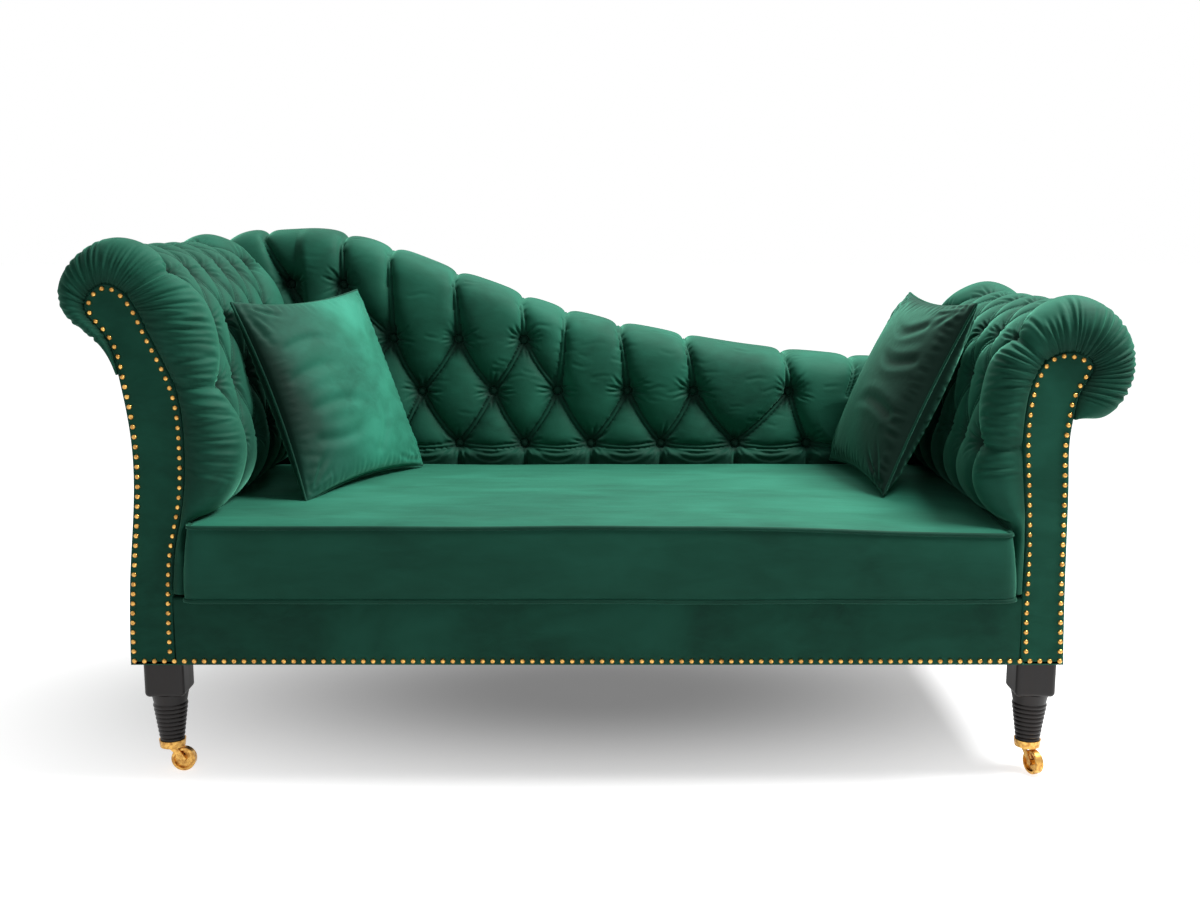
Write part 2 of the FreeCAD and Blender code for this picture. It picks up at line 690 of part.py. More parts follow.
def build_seat():
    inner = [arm_points(arm, arm["inner"][-2:], 0.0, CLEAR / 2) for arm in (LEFT, RIGHT)]
    left = max(p.x for p in inner[0])
    right = min(p.x for p in inner[1])
    rail_top = FRAME_TOP
    export("front_rail", box(left, right, POST_Y, POST_Y + BOARD_T, BASE_Z, rail_top))
    export("front_rail_cover", box(left, right, FRONT_Y, POST_Y, BASE_Z, SEAT_Z - CLEAR))
    export("rear_rail", box(-SIDE_OUT, SIDE_OUT, REAR_FRAME_Y, REAR_Y - COVER_T, BASE_Z, rail_top))
    side_rails = []
    for side in (-1, 1):
        x0, x1 = sorted((side * SIDE_IN, side * (SIDE_OUT - 14.0)))
        side_rails.append(box(x0, x1, POST_Y + BOARD_T, REAR_FRAME_Y, BASE_Z, rail_top))
    export("side_rails", *side_rails)
    braces = [box(x - BOARD_T / 2, x + BOARD_T / 2, POST_Y + BOARD_T, REAR_FRAME_Y, BASE_Z, BASE_Z + BRACE_H)
              for x in BRACE_X]
    export("seat_braces", *braces)
    export("corner_blocks", *corner_blocks())
    export("seat_springs", *[zigzag(x) for x in spring_places()])
    export("spring_clips", *spring_clips())
    deck_x = HALF - SEAT_SIDE - 2.0
    export("seat_deck", box(-deck_x, deck_x, POST_Y, PAD_BACK_Y - 60.0, SEAT_Z - DECK_T, SEAT_Z))
    export("dust_cover", dust_cover())
    export("rail_nails", *rail_nails())


# Seat cushion


def cushion_section(x, crown):
    """Bottom, bulging front, crowned top and rear of the cushion at x."""
    y0, y1 = FRONT_Y - CUSHION_LIP + PIPING_R, SEAT_BACK_Y - 2 * CLEAR
    z0, z1 = SEAT_Z + CLEAR, SEAT_Z + CLEAR + CUSHION_T
    a, b, c, d = V(x, y1, z0), V(x, y0, z0), V(x, y0, z1), V(x, y1 - 6.0, z1)
    front = V(x, y0 - PIPING_R - 0.3 * crown / CUSHION_CROWN, (z0 + z1) / 2)
    top = V(x, (y0 + y1) / 2, z1 + 0.2 + crown)
    return Part.Wire([line(a, b), arc(b, front, c), arc(c, top, d), line(d, a)])


def cushion_side():
    return HALF - SEAT_SIDE - FIT


def seat_cushion():
    side = cushion_side()
    steps = 12
    wires = []
    for k in range(steps + 1):
        share = 2.0 * k / steps - 1.0
        bend = math.sin(share * math.pi / 2)
        wires.append(cushion_section(side * bend, CUSHION_CROWN * (1 - bend * bend) ** 0.5))
    body = loft(wires)
    y0, y1 = FRONT_Y - CUSHION_LIP + PIPING_R, FRONT_Y - 2.0
    z0 = SEAT_Z + CLEAR
    for sign in (-1, 1):
        ends = []
        for x, y_in, z_in in ((side - 1.0, 0.0, 0.0), (side + CUSHION_CORNER, 3.0, 26.0)):
            front, top = y0 + y_in, z0 + CUSHION_T - z_in
            flat = [(front, z0), (y1, z0), (y1, top), (front, top)]
            corners = [V(sign * x, y, z) for y, z in flat]
            ends.append(Part.makePolygon(corners + corners[:1]))
        body = body.fuse(loft(ends))
    return body.removeSplitter()


# Throw pillows


def pillow(centre, turn, lean, roll):
    """A knife-edged pillow: two crowned faces that meet along a seam, drawn in between the corners."""
    steps = 8
    wires = []
    for k in range(steps + 1):
        u = math.sin((2.0 * k / steps - 1.0) * math.pi / 2)
        x = u * PILLOW_W / 2
        half = PILLOW_W / 2 * (1.0 - 0.07 * (1.0 - u * u))
        bulge = 5.0 + (PILLOW_T / 2 - 5.0) * (1.0 - u * u) ** 0.65
        low, high = V(x, 0, -half), V(x, 0, half)
        wires.append(Part.Wire([arc(low, V(x, -bulge, 0), high), arc(high, V(x, bulge, 0), low)]))
    shape = loft(wires)
    shape.rotate(V(), V(0, 1, 0), roll)
    shape.rotate(V(), V(1, 0, 0), -lean)
    shape.rotate(V(), V(0, 0, 1), turn)
    shape.translate(centre + V(0, 0, SEAM_RISE - DRAWN_SEAT))
    return shape


# Legs and castors


def leg(side, end):
    """A square block over a ribbed taper, bored for its bolt and for the castor's socket."""
    half = LEG_BLOCK / 2
    block = box(-half, half, -half, half, BASE_Z - LEG_BLOCK_H, BASE_Z)
    upright = [e for e in block.Edges if abs(e.tangentAt(e.FirstParameter).z) > 0.9]
    block = block.makeFillet(9.0, upright)
    under = [e for e in block.Edges if e.BoundBox.ZMax < BASE_Z - LEG_BLOCK_H + 0.1]
    block = block.makeFillet(8.0, under)
    top, low = BASE_Z - LEG_BLOCK_H - LEG_NECK_H, CASTOR_H
    neck = BASE_Z - LEG_BLOCK_H + 1.0
    shoulder = V(LEG_TOP_R + 4.0, 0, neck)
    outline = [line(V(0, 0, neck), shoulder), line(shoulder, V(LEG_TOP_R, 0, top))]
    step = (top - low) / LEG_RIBS
    for k in range(LEG_RIBS):
        r0 = LEG_TOP_R + (LEG_FOOT_R - LEG_TOP_R) * k / LEG_RIBS
        r1 = LEG_TOP_R + (LEG_FOOT_R - LEG_TOP_R) * (k + 1) / LEG_RIBS
        z0, z1 = top - k * step, top - (k + 1) * step
        outline.append(arc(V(r0, 0, z0), V((r0 + r1) / 2 + LEG_RIB_DEPTH, 0, (z0 + z1) / 2), V(r1, 0, z1)))
    outline += [line(V(LEG_FOOT_R, 0, low), V(0, 0, low)), line(V(0, 0, low), V(0, 0, neck))]
    taper = Part.Face(Part.Wire(outline)).revolve(V(), V(0, 0, 1), 360)
    shape = block.fuse(taper)
    shape = shape.cut(Part.makeCylinder(SOCKET_R, STEM_L + 1.0, V(0, 0, low - 1.0)))
    shape = shape.cut(Part.makeCylinder(BOLT_R, BOLT_L, V(0, 0, BASE_Z - BOLT_L + BLOCK_H)))
    shape.translate(leg_centre(side, end))
    return shape


def hanger_bolt(side, end):
    return Part.makeCylinder(BOLT_R, BOLT_L, leg_centre(side, end) + V(0, 0, BASE_Z + BLOCK_H - BOLT_L))


def castor_socket(side, end):
    """A brass cup round the leg's foot, with the tube that the stem turns in."""
    rib = LEG_RIB_DEPTH + (LEG_TOP_R - LEG_FOOT_R) * COLLAR_H / (BASE_Z - LEG_BLOCK_H - LEG_NECK_H - CASTOR_H)
    inside = LEG_FOOT_R + rib + 0.3
    low = CASTOR_H - COLLAR_T
    cup = Part.makeCone(inside + 0.5, inside + COLLAR_T, COLLAR_H + COLLAR_T, V(0, 0, low))
    cup = cup.cut(Part.makeCylinder(inside, COLLAR_H + 2, V(0, 0, CASTOR_H)))
    tube = Part.makeCylinder(SOCKET_R, STEM_L + COLLAR_T / 2, V(0, 0, low + COLLAR_T / 2))
    shape = cup.fuse(tube)
    shape = shape.cut(Part.makeCylinder(STEM_R + RUNNING, STEM_L, V(0, 0, low - 1.0)))
    shape.translate(leg_centre(side, end))
    return shape


def castor_fork(side, end, angle):
    """Stem, top plate and two cheeks, with the axle between them. The wheel trails along the given angle."""
    top = CASTOR_H - COLLAR_T - SIDE_PLAY
    stem = Part.makeCylinder(STEM_R, STEM_L - 4.0, V(0, 0, top - CROWN_T / 2))
    inner = WHEEL_W / 2 + SIDE_PLAY
    outer = inner + CHEEK_T
    plate = Part.makeCylinder(outer + 2.5, CROWN_T, V(0, 0, top - CROWN_T))
    ear = 5.5
    cheeks = []
    for sign in (-1, 1):
        y = sign * (inner + outer) / 2 - CHEEK_T / 2
        low = WHEEL_R - ear * 0.8
        flat = [(-7, top), (9, top), (TRAIL + ear, WHEEL_R + 2), (TRAIL + ear * 0.7, low),
                (TRAIL - ear * 0.7, low), (TRAIL - ear, WHEEL_R + 3)]
        cheeks.append(polygon([V(x, y, z) for x, z in flat]).extrude(V(0, CHEEK_T, 0)))
    axle = Part.makeCylinder(AXLE_R, 2 * outer, V(TRAIL, -outer, WHEEL_R), V(0, 1, 0))
    fork = plate.multiFuse([stem] + cheeks).cut(axle)
    shape = Part.makeCompound([fork, axle])
    shape.rotate(V(), V(0, 0, 1), angle)
    shape.translate(leg_centre(side, end))
    return shape.Solids


def castor_wheel(side, end, angle):
    """A rim on a thinner web round the hub."""
    half, web = WHEEL_W / 2, WHEEL_WEB / 2
    rim_in, edge = WHEEL_R - 5.0, 1.2
    bore = AXLE_R + RUNNING
    flat = [(bore, -half), (HUB_R, -half), (HUB_R, -web), (rim_in, -web), (rim_in, -half),
            (WHEEL_R - edge, -half), (WHEEL_R, edge - half)]
    outline = [V(r, y, 0) for r, y in flat] + [V(r, -y, 0) for r, y in flat[::-1]]
    shape = polygon(outline).revolve(V(), V(0, 1, 0), 360)
    shape.translate(V(TRAIL, 0, WHEEL_R))
    shape.rotate(V(), V(0, 0, 1), angle)
    shape.translate(leg_centre(side, end))
    return shape


def build_legs():
    bolts = []
    for name, side, end in corner_signs():
        angle = SWIVELS[name]
        export(f"{name}_leg", leg(side, end))
        export(f"{name}_castor_socket", castor_socket(side, end))
        export(f"{name}_castor_fork", *castor_fork(side, end, angle))
        export(f"{name}_castor_wheel", castor_wheel(side, end, angle))
        bolts.append(hanger_bolt(side, end))
    export("hanger_bolts", *bolts)


if __name__ == "__main__":
    os.makedirs("parts", exist_ok=True)
    for arm in (LEFT, RIGHT):
        build_arm(arm)
    export("scroll_rails", *[scroll_rail(arm) for arm in (LEFT, RIGHT)])
    build_back()
    build_seat()
    build_legs()
    export("seat_cushion", seat_cushion())
    for name, place in PILLOWS.items():
        export(name, pillow(*place))
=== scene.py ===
"""Looks of the fainting couch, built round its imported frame. +X is right, +Y back, +Z up.

Shapes are worked out in millimetres, as the frame's outlines are, and turned to metres in mesh_object.
"""

import json
import math

import bpy
import numpy as np
from mathutils import Euler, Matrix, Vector


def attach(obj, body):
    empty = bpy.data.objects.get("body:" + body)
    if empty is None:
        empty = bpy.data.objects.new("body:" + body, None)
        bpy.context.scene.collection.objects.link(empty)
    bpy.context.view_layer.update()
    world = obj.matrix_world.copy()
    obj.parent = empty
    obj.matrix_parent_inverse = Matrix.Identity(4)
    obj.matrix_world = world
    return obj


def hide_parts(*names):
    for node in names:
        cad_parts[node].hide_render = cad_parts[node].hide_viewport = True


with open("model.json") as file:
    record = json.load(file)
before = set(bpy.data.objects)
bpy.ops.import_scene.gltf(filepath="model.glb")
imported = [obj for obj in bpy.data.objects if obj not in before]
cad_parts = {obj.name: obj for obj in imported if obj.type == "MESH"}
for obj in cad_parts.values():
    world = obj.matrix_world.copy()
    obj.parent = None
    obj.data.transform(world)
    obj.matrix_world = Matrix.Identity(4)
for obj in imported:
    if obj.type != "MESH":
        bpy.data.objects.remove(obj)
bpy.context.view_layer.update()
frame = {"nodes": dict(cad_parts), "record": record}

MM = 0.001
STEP = 2.5  # grid of the buttoned pieces
COARSEST = 30  # cells across the coarsest grid of a stretched skin, at most
SETTLE = 500  # sweeps there

# Sizes shared with the frame
HALF = 900.0
FRONT_Y = -380.0
FACING_T = 12.0
ARM_END_Y = 200.0
BASE_Z = 212.0
DECK_Z = 334.0
SEAM_Z = 462.0
REAR_IN = 405.0
BACK_HALF = 806.0

# Buttons, as they look with their cloth on
BUTTON_R = 9.0
BUTTON_H = 5.9
BUTTON_SIDES = 16
BUTTON_RINGS = [(0.93, -2.0), (1.0, 0.6), (0.96, 2.4), (0.8, 4.0), (0.5, 5.2), (0.2, 5.8)]  # (share, height)
WELL_R = 30.0  # how far a button's shadow reaches
# painted shade over every button, so that it sits dark in its well
BUTTON_SHADE = 0.75
WRINKLES = 15  # round each button
WRINKLE_REACH = 38.0
NARROW = {"half": 4.0, "ridge": 2.0}  # the pleats from the outer buttons
CAP = 12.0

# Each arm's points are (in from the couch's end, up from the base). outer, crown and inner bound its facing, pad
# is its padding's section, with its rows of buttons, and meets pairs places on the padding with those on the
# facing that they are drawn in to.
LEFT = {
    "name": "left",
    "side": -1,
    "outer": [(87, 0), (94, 152), (108, 292), (110, 378), (101, 464), (94, 506), (69, 578), (44, 618)],
    "crown": (78, 657),
    "inner": [(129, 618), (146, 581), (180, 506), (194, 460), (199, 388), (192, 282), (176, 210), (167, 128),
              (165, 0)],
    "pad": [(94, 506), (80, 540), (60, 568), (35, 588), (10, 610), (0, 640), (5, 670), (22, 696), (52, 716),
            (90, 727), (135, 718), (174, 698), (205, 662), (231, 618), (247, 563), (259, 503), (272, 445),
            (283, 388), (274, 338), (250, 292), (222, 268), (203, 253), (202, 190), (202, 128)],
    "rows": [(22, 690), (97, 726), (189, 686), (240, 590), (265, 487), (283, 382), (246, 288)],
    "meets": [((94, 506), (94, 506)), ((35, 588), (66, 582)), ((0, 640), (44, 618)), ((22, 696), (52, 641)),
              ((90, 727), (80, 657)), ((174, 698), (112, 648)), ((231, 618), (133, 610)),
              ((259, 503), (181, 503)), ((283, 388), (199, 388)), ((250, 292), (193, 292)),
              ((203, 253), (186, 250)), ((202, 128), (167, 128))],
}
RIGHT = {
    "name": "right",
    "side": 1,
    "outer": [(97, 0), (101, 117), (104, 258), (106, 327), (107, 405), (104, 430), (91, 483), (76, 522)],
    "crown": (108, 543),
    "inner": [(150, 532), (175, 496), (184, 456), (187, 395), (184, 344), (180, 292), (176, 222), (175, 128),
              (172, 0)],
    "pad": [(104, 430), (74, 431), (49, 434), (19, 461), (2, 500), (2, 545), (13, 582), (40, 610), (68, 624),
            (100, 631), (140, 622), (176, 602), (206, 573), (226, 540), (237, 503), (246, 455), (258, 390),
            (262, 350), (254, 305), (229, 273), (203, 253), (202, 190), (202, 128)],
    "rows": [(16, 590), (115, 630), (205, 575), (239, 490), (258, 385), (236, 278)],
    "meets": [((104, 430), (104, 430)), ((49, 434), (100, 452)), ((2, 500), (86, 500)), ((13, 582), (80, 530)),
              ((68, 624), (93, 541)), ((115, 630), (112, 543)), ((176, 602), (140, 538)),
              ((226, 540), (166, 512)), ((246, 455), (184, 455)), ((262, 350), (184, 344)),
              ((229, 273), (179, 275)), ((203, 253), (177, 250)), ((202, 128), (175, 128))],
}
ARM_PITCH = 96.0
ARM_FIRST = FRONT_Y + 52.0
ARM_FOOT_X = 698.4  # the padding stays outside this beside the cushion

# The arm's borders, as (share of the way out from the facing's outline, y). Their points are spread evenly, with
# a share of 1 taken as BORDER_W.
BORDER_W = 60.0
RING_BACK = FRONT_Y + 54.0  # where the front border has turned into the long sides
REAR_TURN = ARM_END_Y - 22.0  # and where those turn in again
FRONT_BORDER = [(0.0, -371.0), (1.8, -379.0), (12.0, -386.0), (30.0, -388.0), (46.0, -378.0), (56.0, -357.0),
                (BORDER_W, RING_BACK)]
REAR_BORDER = [(BORDER_W, REAR_TURN), (56.0, ARM_END_Y - 9.0), (44.0, ARM_END_Y - 2.0), (24.0, ARM_END_Y),
               (0.0, ARM_END_Y)]
FRONT_CLOTH = 112.0  # cloth that goes round the front border, and round the rear one
REAR_CLOTH = 60.0

BACK_TOP = [(-812, 902), (-770, 936), (-682, 946), (-601, 948), (-520, 936), (-438, 911), (-357, 880),
            (-236, 837), (-114, 794), (0, 761), (114, 737), (308, 702), (438, 688), (552, 678), (812, 660)]
BACK_ROWS = [508.0, 619.0, 729.0, 845.0]
BACK_COLUMNS = [-654, -597, -541, -438, -378, -299, -226, -160, -90, -19, 58, 129, 198, 287, 401, 440, 520, 590,
                660]
BACK_PLEATS = [(-654, -714), (-541, -543), (-438, -444), (-299, -308), (-160, -165), (-90, -73), (58, 41),
               (198, 183), (401, 393), (520, 540), (660, 672)]  # (a top button's x, its pleat's x at the crest)
BACK_FOOT = DECK_Z + 6.0
BACK_CELLS = 330  # cells up the back and over its roll
BACK_FACE_Y = 192.0
BACK_MIN_Y = 191.6  # just behind the cushion
BACK_RECESS = 16.0  # how much further back the face lies behind an arm
BACK_LEAN = 0.08
ROLL_H = 62.0
ROW_ROOM = 66.0  # a button's least distance from the top edge
LAST_COLUMN = 662.0
END_ROUND = 20.0

CUSHION_LOW = DECK_Z + 0.6
CUSHION_HIGH = SEAM_Z + 0.4
RAIL_ENDS = (-733.0, 725.0)

PILLOW_W = 384.0
PILLOW_T = 110.0
PILLOW_DRAW = 0.088  # how far its borders are drawn in between the corners
# Each pillow's cloth carries painted shade: the left one darker towards the side away from the key lamp, and the
# right one dark all over, as it faces away from it.
PILLOWS = {  # each fold is (line, depth, width)
    "left_pillow": {
        "centre": (-514.6, -34.4, 651.6), "turn": 64.0, "lean": 22.5, "roll": -1.1, "seed": 3,
        "painted_shade": (-0.75, 0.06, 0.2),
        "folds": [([(-150, -90), (-60, -100), (20, -80)], 4.0, 9.0),
                  ([(-160, 20), (-80, 40), (0, 30)], 4.0, 10.0),
                  ([(-150, 80), (-70, 95), (30, 70)], 3.0, 8.0),
                  ([(20, -150), (60, -90), (70, -20)], 3.0, 9.0),
                  ([(-140, -40), (-60, -30), (60, -60)], 3.4, 9.0)],
    },
    "right_pillow": {
        "centre": (583.6, 8.0, 650.0), "turn": -84.7, "lean": 24.6, "roll": 0.1, "seed": 7,
        "painted_shade": (0.14, 0.1, 1.0),
        "folds": [([(150, 60), (60, 40), (-40, 60)], 4.0, 9.0),
                  ([(150, -60), (50, -40), (-60, -60)], 4.0, 10.0),
                  ([(120, 130), (20, 100), (-60, 130)], 3.0, 8.0)],
    },
}


# Lines and grids


def distances(points):
    """The way along a chain of points, at each of them."""
    return np.concatenate([[0.0], np.cumsum(np.linalg.norm(np.diff(points, axis=0), axis=1))])


def even(points, count):
    """count points at even distances along a chain of points."""
    points = np.asarray(points, float)
    run = distances(points)
    places = np.linspace(0.0, run[-1], count)
    return np.stack([np.interp(places, run, points[:, k]) for k in range(points.shape[1])], axis=1)


def dense_spline(points, per_span=24):
    """The natural cubic through points, as a fine chain."""
    p = np.asarray(points, float)
    t = distances(p)
    h = np.diff(t)
    count = len(p)
    lhs, rhs = np.eye(count), np.zeros_like(p)
    for k in range(1, count - 1):
        lhs[k, k - 1:k + 2] = h[k - 1], 2.0 * (h[k - 1] + h[k]), h[k]
        rhs[k] = 6.0 * ((p[k + 1] - p[k]) / h[k] - (p[k] - p[k - 1]) / h[k - 1])
    m = np.linalg.solve(lhs, rhs)
    places = np.linspace(0.0, t[-1], per_span * count)
    k = np.clip(np.searchsorted(t, places, "right") - 1, 0, count - 2)
    a, b, hk = (t[k + 1] - places)[:, None], (places - t[k])[:, None], h[k][:, None]
    bend = (m[k] * a ** 3 + m[k + 1] * b ** 3) / (6.0 * hk)
    return bend + (p[k] / hk - m[k] * hk / 6.0) * a + (p[k + 1] / hk - m[k + 1] * hk / 6.0) * b


def smooth(points, count):
    return even(dense_spline(points), count)


def length(points):
    return float(np.linalg.norm(np.diff(points, axis=0), axis=1).sum())


def place_on(line, point):
    """Distance along an evenly spaced line of the place nearest to point."""
    k = int(np.argmin(np.linalg.norm(line - np.asarray(point, float), axis=1)))
    return k * length(line) / (len(line) - 1)


def nearest(values, value):
    return int(np.argmin(np.abs(values - value)))


def unit(vectors):
    return vectors / np.linalg.norm(vectors, axis=-1, keepdims=True)


def headings(line, closed=False):
    """The way ahead at each point of a line."""
    if closed:
        return unit(np.roll(line, -1, axis=0) - np.roll(line, 1, axis=0))
    return unit(np.gradient(line, axis=0))


def to_right(line, closed=False):
    """The way to the right at each point of a flat line."""
    ahead = headings(line, closed)
    return np.stack([ahead[:, 1], -ahead[:, 0]], axis=1)


def ease(low, high, value):
    share = np.clip((value - low) / (high - low), 0.0, 1.0)
    return share * share * (3.0 - 2.0 * share)


def normals(grid):
    cross = np.cross(np.gradient(grid, axis=0), np.gradient(grid, axis=1))
    return cross / np.maximum(np.linalg.norm(cross, axis=2, keepdims=True), 1e-9)


def relax(held, low, push, sweeps=70):
    """A stretched skin: held cells keep low, and the others take their neighbours' mean plus push."""
    rows, cols = held.shape
    if min(rows, cols) > COARSEST:
        pad = ((0, rows % 2), (0, cols % 2))
        h = np.pad(held, pad, mode="edge")
        v = np.pad(np.where(held, low, 0.0), pad, mode="edge")
        count = sum(h[a::2, b::2].astype(int) for a in (0, 1) for b in (0, 1))
        total = sum((v * h)[a::2, b::2] for a in (0, 1) for b in (0, 1))
        coarse = relax(count > 0, total / np.maximum(count, 1), push * 4.0, sweeps)
        skin = coarse.repeat(2, axis=0).repeat(2, axis=1)[:rows, :cols]
    else:
        skin, sweeps = np.zeros(held.shape), SETTLE
    for _ in range(sweeps):
        p = np.pad(skin, 1, mode="edge")
        skin = np.where(held, low, (p[:-2, 1:-1] + p[2:, 1:-1] + p[1:-1, :-2] + p[1:-1, 2:]) / 4.0 + push)
    return skin


class Quilt:
    """Buttoned cloth. u and v are each cell's place along the cloth, and heights() how far it stands out."""

    def __init__(self, u, v, seed):
        self.u, self.v = u, v
        self.held = np.zeros(u.shape, bool)
        self.low = np.zeros(u.shape)
        self.fine = np.zeros(u.shape)
        # painted shadow round each button, from 0 to 1
        self.dark = np.zeros(u.shape)
        self.random = np.random.default_rng(seed)

    def near(self, line, reach):
        """(cells within reach of a chain of points, their distance from it, their share of its length)."""
        line = np.asarray(line, float)
        low, high = line.min(axis=0) - reach, line.max(axis=0) + reach
        cells = np.nonzero((self.u > low[0]) & (self.u < high[0]) & (self.v > low[1]) & (self.v < high[1]))
        u, v = self.u[cells], self.v[cells]
        off, share = np.full(u.shape, 1e9), np.zeros(u.shape)
        run = distances(line)
        for k, (a, b) in enumerate(zip(line, line[1:])):
            d = b - a
            w = np.clip(((u - a[0]) * d[0] + (v - a[1]) * d[1]) / (d @ d), 0.0, 1.0)
            away = np.hypot(u - a[0] - w * d[0], v - a[1] - w * d[1])
            share = np.where(away < off, (run[k] + w * (run[k + 1] - run[k])) / run[-1], share)
            off = np.minimum(off, away)
        inside = off < reach
        return (cells[0][inside], cells[1][inside]), off[inside], share[inside]

    def hold(self, cells, value):
        self.low[cells] = np.where(self.held[cells], np.minimum(self.low[cells], value), value)
        self.held[cells] = True

    def edge(self, cells, value):
        self.low[cells] = value
        self.held[cells] = True

    def fold(self, line, start, middle, end, half=5.4, ridge=5.0, taper=1.0):
        """A pleat: two creases with a narrow band of cloth between them. The depths are at its ends and middle.

        taper is how many times as wide as half its first end is.
        """
        cells, off, share = self.near(line, half * max(taper, 1.0))
        width = half * (taper + (1.0 - taper) * share ** 0.7)
        kept = off < width
        cells, off, share = tuple(c[kept] for c in cells), off[kept], share[kept]
        side = np.abs(2.0 * share - 1.0)
        edge = np.where(share < 0.5, start, end)
        depth = middle + (edge - middle) * side ** 2.2
        band = ridge * (1.0 - side ** 3) * np.cos(off / width[kept] * math.pi / 2) ** 2
        self.hold(cells, band - depth)

    def button(self, at, depth):
        """A button's well, with its shadow and the wrinkles that fan out from it."""
        cells, off, _ = self.near([at, (at[0] + 0.01, at[1])], WELL_R + 4.0)
        self.dark[cells] = np.maximum(self.dark[cells], 1.0 - ease(BUTTON_R - 2.0, WELL_R, off))
        close = off < BUTTON_R + 1.5
        self.hold(tuple(c[close] for c in cells), -depth)
        turn = self.random.uniform(0.0, math.tau)
        for k in range(WRINKLES):
            angle = turn + math.tau * (k + self.random.uniform(-0.3, 0.3)) / WRINKLES
            reach = WRINKLE_REACH * self.random.uniform(0.6, 1.25)
            start, end = BUTTON_R * 0.8, BUTTON_R + reach
            bend = self.random.uniform(-0.2, 0.2)
            line = [(at[0] + r * math.cos(angle + b), at[1] + r * math.sin(angle + b))
                    for r, b in ((start, 0.0), ((start + end) / 2, bend * 0.4), (end, bend))]
            self.crease(line, self.random.uniform(2.0, 4.2), 2.5)

    def crease(self, line, depth, width):
        """A fine wrinkle that fades out along the line, with a little swell on both sides."""
        cells, off, share = self.near(line, width * 4.0)
        swell = 0.45 * np.exp(-((off - 2.2 * width) / (1.2 * width)) ** 2)
        along = ease(0.0, 0.12, share) * (1.0 - ease(0.35, 1.0, share))
        self.fine[cells] -= depth * (np.exp(-(off / width) ** 2) - swell) * along

    def heights(self, puff, full, power=0.55):
        """Heights: the skin hung from what is held, plus what the filling lifts.

        The middle of a puff full mm wide is lifted by puff, and no place rises above CAP.
        """
        base = relax(self.held, self.low, 0.0)
        lift = relax(self.held, np.zeros(self.u.shape), 1.0)
        lift = (lift / (0.3 * (full / STEP) ** 2)) ** power
        free = ease(0.0, 3.0, lift * puff)
        high = base + puff * lift
        high = np.where(high > 0.0, CAP * (1.0 - np.exp(-high / CAP)), high)
        return high + self.fine * (0.35 + 0.65 * free)

    def sunk(self, height):
        """How far each cell lies in shadow, from 0 to 1: deep in a fold, or close to a button."""
        return np.maximum(ease(4.0, 25.0, -height), self.dark)


# Materials


def fill(tree, node, values):
    """Sets a node's sockets to plain values, or links them to other nodes' outputs."""
    for name, value in values.items():
        if isinstance(value, bpy.types.NodeSocket):
            tree.links.new(value, node.inputs[name])
        else:
            node.inputs[name].default_value = value


def add_node(tree, kind, values=None, **settings):
    made = tree.nodes.new("ShaderNode" + kind)
    for name, value in settings.items():
        setattr(made, name, value)
    fill(tree, made, values or {})
    return made


def node_material(name, colour, rough, values=None):
    made = bpy.data.materials.new(name)
    made.use_nodes = True
    tree = made.node_tree
    shader = tree.nodes["Principled BSDF"]
    fill(tree, shader, {"Base Color": (*colour, 1.0), "Roughness": rough, **(values or {})})
    return made, tree, shader


def noise(tree, scale, detail=3.0, rough=0.5, stretch=(1, 1, 1), distortion=0.0):
    """A noise texture in the frame's own metres."""
    place = add_node(tree, "TexCoord").outputs["Object"]
    stretched = add_node(tree, "Mapping", {"Vector": place, "Scale": stretch}).outputs["Vector"]
    made = add_node(tree, "TexNoise", {"Vector": stretched, "Scale": scale, "Detail": detail, "Roughness": rough,
                                       "Distortion": distortion})
    return made.outputs["Fac"]


def ramp(tree, source, stops):
    """A ramp through (place, value) stops, each value a colour or a plain number."""
    made = add_node(tree, "ValToRGB", {"Fac": source})
    elements = made.color_ramp.elements
    while len(elements) < len(stops):
        elements.new(0.5)
    for element, (place, value) in zip(elements, stops):
        element.position = place
        element.color = (*value, 1.0) if hasattr(value, "__len__") else (value, value, value, 1.0)
    return made.outputs["Color"]


def blend_colours(tree, factor, a, b):
    """a turns into the colour b where factor is 1."""
    made = add_node(tree, "Mix", data_type="RGBA")
    sockets = {s.name: s for s in made.inputs if s.enabled}
    tree.links.new(factor, sockets["Factor"])
    tree.links.new(a, sockets["A"])
    sockets["B"].default_value = (*b, 1.0)
    return [s for s in made.outputs if s.enabled][0]


def bump(tree, shader, source, height, strength, below=None):
    """Relief on the shader's surface, laid over the relief below."""
    under = {"Normal": below} if below else {}
    made = add_node(tree, "Bump", {"Height": source, "Distance": height, "Strength": strength, **under})
    fill(tree, shader, {"Normal": made.outputs["Normal"]})
    return made.outputs["Normal"]


def velvet(name, deep, mid, light, stretch=(1.0, 1.0, 1.0)):
    """Short-pile velvet: soft clouds where the pile leans, finer brush marks, and a pale sheen at its edges.

    Its attribute of painted shade, from 0 to 1, darkens its colour where shade falls: in folds and wells, low
    down, and on faces turned from the light.
    """
    made, tree, shader = node_material(name, mid, 0.72, {
        "Specular IOR Level": 0.18, "Sheen Weight": 0.55, "Sheen Roughness": 0.38,
        "Sheen Tint": (0.2, 0.74, 0.5, 1.0)})
    clouds = noise(tree, 5.0, 3.0, 0.55, stretch, 0.6)
    marks = noise(tree, 34.0, 3.0, 0.6, tuple(s * t for s, t in zip(stretch, (0.5, 0.7, 1.0))), 0.4)
    nap = ramp(tree, clouds, [(0.3, deep), (0.52, mid), (0.74, light)])
    brushed = blend_colours(tree, ramp(tree, marks, [(0.38, 0.0), (0.7, 0.35)]), nap, light)
    # Painted shade: where the attribute is 1, the colour darkens to 0.16 of the deep tone.
    painted_shade = add_node(tree, "Attribute", attribute_name="painted_shade").outputs["Fac"]
    fill(tree, shader, {"Base Color": blend_colours(tree, painted_shade, brushed, tuple(0.16 * c for c in deep))})
    brush = bump(tree, shader, marks, 0.0022, 0.35)
    bump(tree, shader, noise(tree, 900.0, 2.0, 0.7), 0.0004, 0.3, brush)
    return made


